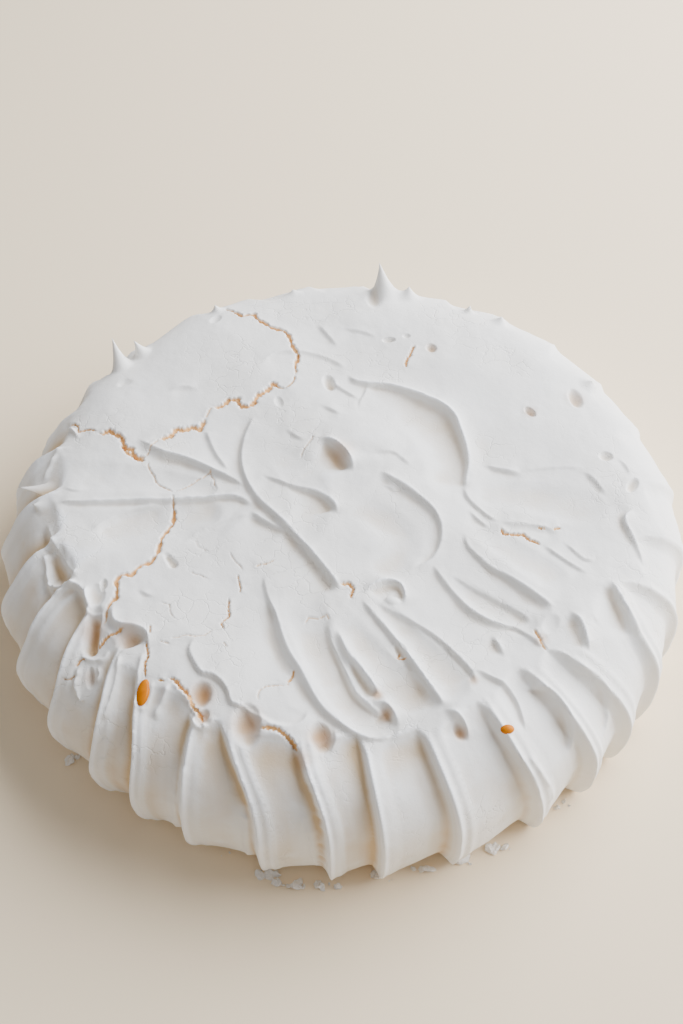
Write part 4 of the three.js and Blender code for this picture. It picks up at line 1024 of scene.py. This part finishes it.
shape, inside_crack, local_relief = surface_from(points, flute)
shape = pull_peaks(points, shape)
hollow = hollow_of(points, local_relief, triangles)
print("relief from", round(float((shape - points)[:, 2].min()), 1), "to",
      round(float((shape - points)[:, 2].max()), 1), "mm in height")

# %% [markdown]
# ### Closing the underside
# The lowest ring lies on the table. A fan of triangles to the middle closes it with a flat base.

# %% Mesh object
def close_base(shape, triangles):
    edges = triangles[:, [[0, 1], [1, 2], [2, 0]]].reshape(-1, 2)
    ordered = np.sort(edges, axis=1)
    _, first, count = np.unique(ordered, axis=0, return_index=True, return_counts=True)
    rim = edges[first[count == 1]]
    middle = len(shape)
    fan = np.column_stack([rim[:, 1], rim[:, 0], np.full(len(rim), middle)])
    return np.vstack([shape, [(0, 0, 0)]]), np.vstack([triangles, fan])


def mesh_object(name, points, faces):
    mesh = bpy.data.meshes.new(name)
    mesh.vertices.add(len(points))
    mesh.vertices.foreach_set("co", np.ascontiguousarray(points * MM, dtype=np.float32).ravel())
    mesh.loops.add(faces.size)
    mesh.loops.foreach_set("vertex_index", faces.astype(np.int32).ravel())
    mesh.polygons.add(len(faces))
    mesh.polygons.foreach_set("loop_start", np.arange(0, faces.size, faces.shape[1], dtype=np.int32))
    mesh.update(calc_edges=True)
    mesh.validate()
    thing = bpy.data.objects.new(name, mesh)
    bpy.context.scene.collection.objects.link(thing)
    return thing


def paint_attribute(thing, name, values):
    attribute = thing.data.attributes.new(name, "FLOAT", "POINT")
    attribute.data.foreach_set("value", np.ascontiguousarray(values, dtype=np.float32))


shell_points, shell_faces = close_base(shape, triangles)
shell = mesh_object("meringue_shell", shell_points, shell_faces)
shell.data.shade_smooth()
paint_attribute(shell, "inside_crack", np.append(inside_crack, 0))
# the material lays its painted highlight on edges and its painted creamy shade in hollows from this
paint_attribute(shell, "hollow", np.append(hollow, 0))
# painted shade: the brown laid in a few deep pockets
paint_attribute(shell, "pocket_shade", np.append(pocket_shade_at(points), 0))
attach(shell, "root")
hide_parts("meringue")
print("shell:", len(shell.data.polygons), "triangles")

# %% [markdown]
# ## Materials
# Colours are written as sRGB hex values, the way a picture shows them, and one function turns them to
# the linear numbers that the shader works with. One small function adds any node, and a few more put
# together what several materials need: a noise of a given size, a range of a value, a change of colour.

# %% Colour and node helpers
def linear(code, alpha=1.0):
    channels = [int(code[i:i + 2], 16) / 255 for i in (1, 3, 5)]
    return tuple(c / 12.92 if c <= 0.04045 else ((c + 0.055) / 1.055) ** 2.4 for c in channels) + (alpha,)


def add_node(tree, kind, settings=None, **inputs):
    """Adds a node, sets its properties, and fills or links its inputs by name."""
    node = tree.nodes.new(kind)
    for key, value in (settings or {}).items():
        setattr(node, key, value)
    for key, value in inputs.items():
        name = key.replace("_", " ")
        named = next((s for s in node.inputs if s.name == name and s.enabled), None)
        socket = named or node.inputs[int(key[1:])]
        if isinstance(value, bpy.types.NodeSocket):
            tree.links.new(value, socket)
        else:
            socket.default_value = value
    return node


def noise_of(tree, place, size, detail, **more):
    """A noise whose lumps are about the given size in mm."""
    node = add_node(tree, "ShaderNodeTexNoise", Vector=place, Scale=1000 / size, Detail=detail, **more)
    return node.outputs


def ranged(tree, value, start, end, **more):
    node = add_node(tree, "ShaderNodeMapRange", Value=value, From_Min=start, From_Max=end, **more)
    return node.outputs["Result"]


def tinted(tree, factor, colour, code):
    """The colour, changed to the one with the given code as the factor goes to 1."""
    mix = add_node(tree, "ShaderNodeMix", {"data_type": "RGBA"}, Factor=factor, A=colour, B=linear(code))
    return mix.outputs["Result"]


def painted(tree, name):
    return add_node(tree, "ShaderNodeAttribute", {"attribute_name": name}).outputs["Fac"]


def new_material(name):
    material = bpy.data.materials.new(name)
    material.use_nodes = True
    tree = material.node_tree
    tree.nodes.clear()
    return material, tree


print("helpers ready")

# %% [markdown]
# ### Baked meringue
# A dried foam of sugar and egg white: matt, fine and powdery, almost white, with a faint cream tint
# that comes and goes over centimetres. Painted light and shade lie over it: edges get a painted white
# highlight, hollows a painted creamy shade, and a few deep pockets a painted brown shade. A crack that
# opens the crust shows its tan inside. Hairline cracks outline small platelets, only here and there.
# The foam's IOR is close to sugar's, 1.5. Its grain is about 0.3 mm.

# %% Meringue material
CRUST_WHITE = "#F4F3F0"
# painted highlight: the whitest colour, laid on edges that stand above the relief round them
EDGE_HIGHLIGHT_WHITE = "#FFFFFE"
CRUST_CREAM = "#F1ECE2"
# painted shade: the creamy colour laid in hollows stands in for the shade in them
HOLLOW_SHADE_CREAM = "#D6BB94"
CRACK_TAN = "#E9B576"
# painted shade: the brown laid in a few deep pockets
POCKET_SHADE_BROWN = "#BE8F5C"
EDGE_HIGHLIGHT_SHOWS = (-0.3, -1.3)  # the depths over which each tint sets in, mm
HOLLOW_SHADE_SHOWS = (0.25, 1.9)
CRACK_SHOWS = (0.15, 0.75)  # as parts of a crack's depth
HAIRLINES_SHOW = (0.48, 0.62)  # the part of the patches that is crazed
HAIRLINE = 0.035
GRAIN_MM = 0.35
CRAZE_MM = 2.4
PLATELET_MM = 7.0
PATCH_MM = 28.0


def meringue_colour(tree, patches):
    hollow = painted(tree, "hollow")
    colour = tinted(tree, patches, linear(CRUST_WHITE), CRUST_CREAM)
    # painted highlight on edges, then painted creamy shade in hollows and painted brown shade in deep
    # pockets
    colour = tinted(tree, ranged(tree, hollow, *EDGE_HIGHLIGHT_SHOWS), colour, EDGE_HIGHLIGHT_WHITE)
    colour = tinted(tree, ranged(tree, hollow, *HOLLOW_SHADE_SHOWS), colour, HOLLOW_SHADE_CREAM)
    colour = tinted(tree, painted(tree, "pocket_shade"), colour, POCKET_SHADE_BROWN)
    return tinted(tree, ranged(tree, painted(tree, "inside_crack"), *CRACK_SHOWS), colour, CRACK_TAN)


def hairlines(tree, place, patches):
    """Thin lines between platelets, 1 on a line and 0 beside it."""
    drift = noise_of(tree, place, 0.6 * PLATELET_MM, 3.0)["Color"]
    bend = add_node(tree, "ShaderNodeVectorMath", {"operation": "MULTIPLY_ADD"}, _0=drift,
                    _1=(0.8 * PLATELET_MM * MM,) * 3, _2=place)
    platelets = add_node(tree, "ShaderNodeTexVoronoi", {"feature": "DISTANCE_TO_EDGE"},
                         Vector=bend.outputs[0], Scale=1000 / PLATELET_MM)
    line = ranged(tree, platelets.outputs["Distance"], 0.0, HAIRLINE, To_Min=1.0, To_Max=0.0)
    where = ranged(tree, patches, *HAIRLINES_SHOW)
    return add_node(tree, "ShaderNodeMath", {"operation": "MULTIPLY"}, _0=line, _1=where).outputs[0]


def meringue_material():
    material, tree = new_material("baked_meringue")
    place = add_node(tree, "ShaderNodeTexCoord").outputs["Object"]
    patches = noise_of(tree, place, PATCH_MM, 3.0)[0]
    craze = noise_of(tree, place, CRAZE_MM, 4.0, Roughness=0.65)[0]
    grain = noise_of(tree, place, GRAIN_MM, 2.0)[0]
    crazed = add_node(tree, "ShaderNodeBump", Height=craze, Strength=0.3, Distance=0.5 * MM)
    split = add_node(tree, "ShaderNodeBump", {"invert": True}, Height=hairlines(tree, place, patches),
                     Strength=0.5, Distance=0.35 * MM, Normal=crazed.outputs["Normal"])
    bump = add_node(tree, "ShaderNodeBump", Height=grain, Strength=0.25, Distance=0.15 * MM,
                    Normal=split.outputs["Normal"])
    shader = add_node(tree, "ShaderNodeBsdfPrincipled", Base_Color=meringue_colour(tree, patches),
                      Roughness=0.82, IOR=1.5, Normal=bump.outputs["Normal"])
    shader.inputs["Specular IOR Level"].default_value = 0.3
    add_node(tree, "ShaderNodeOutputMaterial", Surface=shader.outputs[0])
    return material


shell.data.materials.append(meringue_material())
print("meringue material on", shell.name)

# %% [markdown]
# ## Syrup beads
# Sugar that didn't dissolve weeps out as syrup and sets into small amber beads in the crust. A bead is
# an oval drop, flattened and half sunk, so each is a squashed ball turned to lie on the surface where it
# sits. It is smooth and glassy, which is what sets it off from the matt crust.

# %% Syrup beads, mm and degrees
BEADS = [(-61.3, -73.6, 4.4, 2.1, 79), (50.9, -86.9, 2.2, 1.5, 5)]  # centre, half length, half width, turn
BEAD_HEIGHT = 1.3
BEAD_COLUMNS = 28
BEAD_ROWS = 14
SYRUP_AMBER = "#AE5800"
SYRUP_GOLD = "#D58200"
SYRUP_CLOUD_MM = 2.5


def bead_mesh(x, y, long, wide, turn):
    near = np.hypot(shape[:, 0] - x, shape[:, 1] - y).argmin()
    up = outward(points[near:near + 1])[0]
    angle = math.radians(turn)
    along = np.array([math.cos(angle), math.sin(angle), 0])
    along = along - up * (along @ up)
    along = along / np.linalg.norm(along)
    around_turn, rise = np.meshgrid(np.arange(BEAD_COLUMNS) * 2 * math.pi / BEAD_COLUMNS,
                                    np.linspace(-0.5, 0.5, BEAD_ROWS + 1)[1:-1] * math.pi)
    ball = [np.cos(rise) * np.cos(around_turn), np.cos(rise) * np.sin(around_turn), np.sin(rise)]
    ball = np.stack(ball, axis=-1)
    ball = np.vstack([ball.reshape(-1, 3), [(0, 0, -1), (0, 0, 1)]])
    frame_of_bead = np.array([long * along, wide * np.cross(up, along), BEAD_HEIGHT * up])
    corners = shape[near] + ball @ frame_of_bead
    faces, last = [], BEAD_ROWS - 2
    for k in range(BEAD_COLUMNS):
        n = (k + 1) % BEAD_COLUMNS
        for row in range(last):
            a, b = row * BEAD_COLUMNS + k, row * BEAD_COLUMNS + n
            faces += [(a, b, b + BEAD_COLUMNS), (a, b + BEAD_COLUMNS, a + BEAD_COLUMNS)]
        faces += [(len(ball) - 2, n, k), (last * BEAD_COLUMNS + k, last * BEAD_COLUMNS + n, len(ball) - 1)]
    return corners, np.array(faces)


def syrup_material():
    material, tree = new_material("set_sugar_syrup")
    place = add_node(tree, "ShaderNodeTexCoord").outputs["Object"]
    colour = tinted(tree, noise_of(tree, place, SYRUP_CLOUD_MM, 2.0)[0], linear(SYRUP_GOLD), SYRUP_AMBER)
    shader = add_node(tree, "ShaderNodeBsdfPrincipled", Base_Color=colour, Roughness=0.2, IOR=1.49)
    shader.inputs["Specular IOR Level"].default_value = 0.1
    add_node(tree, "ShaderNodeOutputMaterial", Surface=shader.outputs[0])
    return material


syrup = syrup_material()
for number, bead in enumerate(BEADS, 1):
    drop = mesh_object(f"syrup_bead_{number}", *bead_mesh(*bead))
    drop.data.shade_smooth()
    drop.data.materials.append(syrup)
    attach(drop, "root")
print(len(BEADS), "syrup beads")

# %% [markdown]
# ## Crumbs
# Where the palette knife and the baker's hands brushed the side, crumbs broke off and lie at the foot.
# Their places are drawn at random round a few heaps, and Geometry Nodes put a small uneven lump on each
# place: an icosphere, stretched and turned at random, then roughened by a noise once all are real.

# %% Crumb places, mm and degrees
CRUMB_HEAPS = [  # azimuth, radius, how many, spread
    (-110, 111.5, 2, 1.5), (-103, 114, 4, 3), (-98, 115.3, 6, 3), (-94.5, 115, 3, 2), (-91, 116, 3, 2.2),
    (-82.5, 113.5, 4, 2.5), (-76.4, 113.5, 4, 2), (-68.2, 114.8, 5, 2.2), (-64.2, 114, 7, 2.8),
    (-49.5, 114.5, 5, 2.5), (-142, 113, 2, 1.5),
]
CRUMB_SIZE = 2.6
CRUMB_LUMP_MM = 1.1
CRUMB_SHADE_DEPTH = 0.5  # crumbs get the painted creamy shade of a hollow this deep, mm, which warms them in the shell's shadow


def crumb_places():
    draw = np.random.default_rng(11)
    places, grains = [], []
    for azimuth, radius, count, spread in CRUMB_HEAPS:
        x, y, _ = at_azimuth(azimuth, radius, 0.0)
        for _ in range(count):
            grain = draw.uniform(0.35, 1.0) ** 2.2
            aside, away = draw.normal(0, spread), draw.normal(0, 0.5 * spread)
            places.append((x + aside, y + away, 0.3 * CRUMB_SIZE * grain))
            grains.append(grain)
    return np.array(places), np.array(grains)


def crumb_tree(material):
    tree = bpy.data.node_groups.new("crumbs", "GeometryNodeTree")
    tree.interface.new_socket("Geometry", in_out="INPUT", socket_type="NodeSocketGeometry")
    size = tree.interface.new_socket("Crumb size", in_out="INPUT", socket_type="NodeSocketFloat")
    seed = tree.interface.new_socket("Seed", in_out="INPUT", socket_type="NodeSocketInt")
    tree.interface.new_socket("Geometry", in_out="OUTPUT", socket_type="NodeSocketGeometry")
    given = add_node(tree, "NodeGroupInput").outputs
    lump = add_node(tree, "GeometryNodeMeshIcoSphere", Radius=1.0, Subdivisions=2)
    turn = add_node(tree, "FunctionNodeRandomValue", {"data_type": "FLOAT_VECTOR"},
                    _0=(-0.5, -0.5, 0.0), _1=(0.5, 0.5, 6.3), _8=given["Seed"])
    stretch = add_node(tree, "FunctionNodeRandomValue", {"data_type": "FLOAT_VECTOR"},
                       _0=(0.7, 0.5, 0.22), _1=(1.3, 0.9, 0.42), _8=given["Seed"])
    grain = add_node(tree, "GeometryNodeInputNamedAttribute", {"data_type": "FLOAT"}, Name="grain")
    grown = add_node(tree, "ShaderNodeMath", {"operation": "MULTIPLY"}, _0=grain.outputs["Attribute"],
                     _1=given["Crumb size"])
    scale = add_node(tree, "ShaderNodeVectorMath", {"operation": "SCALE"}, _0=stretch.outputs[0],
                     Scale=grown.outputs[0])
    placed = add_node(tree, "GeometryNodeInstanceOnPoints", Points=given["Geometry"],
                      Instance=lump.outputs["Mesh"], Rotation=turn.outputs[0], Scale=scale.outputs[0])
    real = add_node(tree, "GeometryNodeRealizeInstances", Geometry=placed.outputs[0])
    rough = add_node(tree, "ShaderNodeTexNoise", Scale=1000 / CRUMB_LUMP_MM, Detail=2.0)
    shifted = add_node(tree, "ShaderNodeVectorMath", {"operation": "SUBTRACT"}, _0=rough.outputs["Color"],
                       _1=(0.5, 0.5, 0.5))
    offset = add_node(tree, "ShaderNodeVectorMath", {"operation": "SCALE"}, _0=shifted.outputs[0],
                      Scale=given["Crumb size"])
    broken = add_node(tree, "GeometryNodeSetPosition", Geometry=real.outputs[0], Offset=offset.outputs[0])
    finished = add_node(tree, "GeometryNodeSetMaterial", Geometry=broken.outputs[0], Material=material)
    add_node(tree, "NodeGroupOutput", Geometry=finished.outputs[0])
    return tree, size.identifier, seed.identifier


def grow_crumbs(material):
    places, grains = crumb_places()
    mesh = bpy.data.meshes.new("crumb_places")
    mesh.from_pydata([tuple(p * MM) for p in places], [], [])
    seeds = bpy.data.objects.new("crumb_places", mesh)
    bpy.context.scene.collection.objects.link(seeds)
    paint_attribute(seeds, "grain", grains)
    tree, size_socket, seed_socket = crumb_tree(material)
    modifier = seeds.modifiers.new("crumbs", "NODES")
    modifier.node_group = tree
    modifier[size_socket] = CRUMB_SIZE * MM
    modifier[seed_socket] = 7
    grown = bpy.data.meshes.new_from_object(seeds.evaluated_get(bpy.context.evaluated_depsgraph_get()))
    bpy.data.objects.remove(seeds)
    corners = np.empty(3 * len(grown.vertices), dtype=np.float32)
    grown.vertices.foreach_get("co", corners)
    corners[2::3] = np.maximum(corners[2::3], 0)
    grown.vertices.foreach_set("co", corners)
    crumbs = bpy.data.objects.new("crumbs", grown)
    bpy.context.scene.collection.objects.link(crumbs)
    # painted shade: the crumbs take a share of the hollows' painted creamy shade
    paint_attribute(crumbs, "hollow", np.full(len(grown.vertices), CRUMB_SHADE_DEPTH))
    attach(crumbs, "root")
    return crumbs


crumbs = grow_crumbs(shell.data.materials[0])
number = sum(count for _, _, count, _ in CRUMB_HEAPS)
print("crumbs:", len(crumbs.data.polygons), "faces in", number, "crumbs")

# %% [markdown]
# ## Floor and light
# A pale, faintly warm table sends soft warm light back up under the flutes. One large window-like
# panel stands behind and to the right, so every stroke has a light and a shaded side, and a dim
# sky fills the rest.

# %% Floor and lights
FLOOR_COLOUR = "#F5E0BE"
FLOOR_SIZE = 6.0
FLOOR_HEIGHT = -0.05  # mm, just clear of the shell's underside
WINDOW_PLACE = (0.68, 0.34, 0.49)
WINDOW_SIZE = 1.2
WINDOW_WATTS = 45.0
WINDOW_COLOUR = "#F5F8FF"
SKY_COLOUR = "#F2F4FA"
SKY_STRENGTH = 0.45


def add_floor():
    half = 0.5 * FLOOR_SIZE / MM
    corners = [(x * half, y * half, FLOOR_HEIGHT) for x, y in ((-1, -1), (1, -1), (1, 1), (-1, 1))]
    floor = mesh_object("floor", np.array(corners), np.array([[0, 1, 2, 3]]))
    material, tree = new_material("pale_table")
    shader = add_node(tree, "ShaderNodeBsdfPrincipled", Base_Color=linear(FLOOR_COLOUR), Roughness=0.9)
    add_node(tree, "ShaderNodeOutputMaterial", Surface=shader.outputs[0])
    floor.data.materials.append(material)


def add_panel(name, place, size, watts):
    data = bpy.data.lights.new(name, "AREA")
    data.shape = "SQUARE"
    data.size = size
    data.energy = watts
    data.color = linear(WINDOW_COLOUR)[:3]
    light = bpy.data.objects.new(name, data)
    bpy.context.scene.collection.objects.link(light)
    aim(light, place, (0, 0, 0.03))


def add_sky():
    world = bpy.data.worlds.new("sky")
    world.use_nodes = True
    background = world.node_tree.nodes["Background"]
    background.inputs["Color"].default_value = linear(SKY_COLOUR)
    background.inputs["Strength"].default_value = SKY_STRENGTH
    bpy.context.scene.world = world


add_floor()
add_panel("window", WINDOW_PLACE, WINDOW_SIZE, WINDOW_WATTS)
add_sky()
print("floor, window and sky")
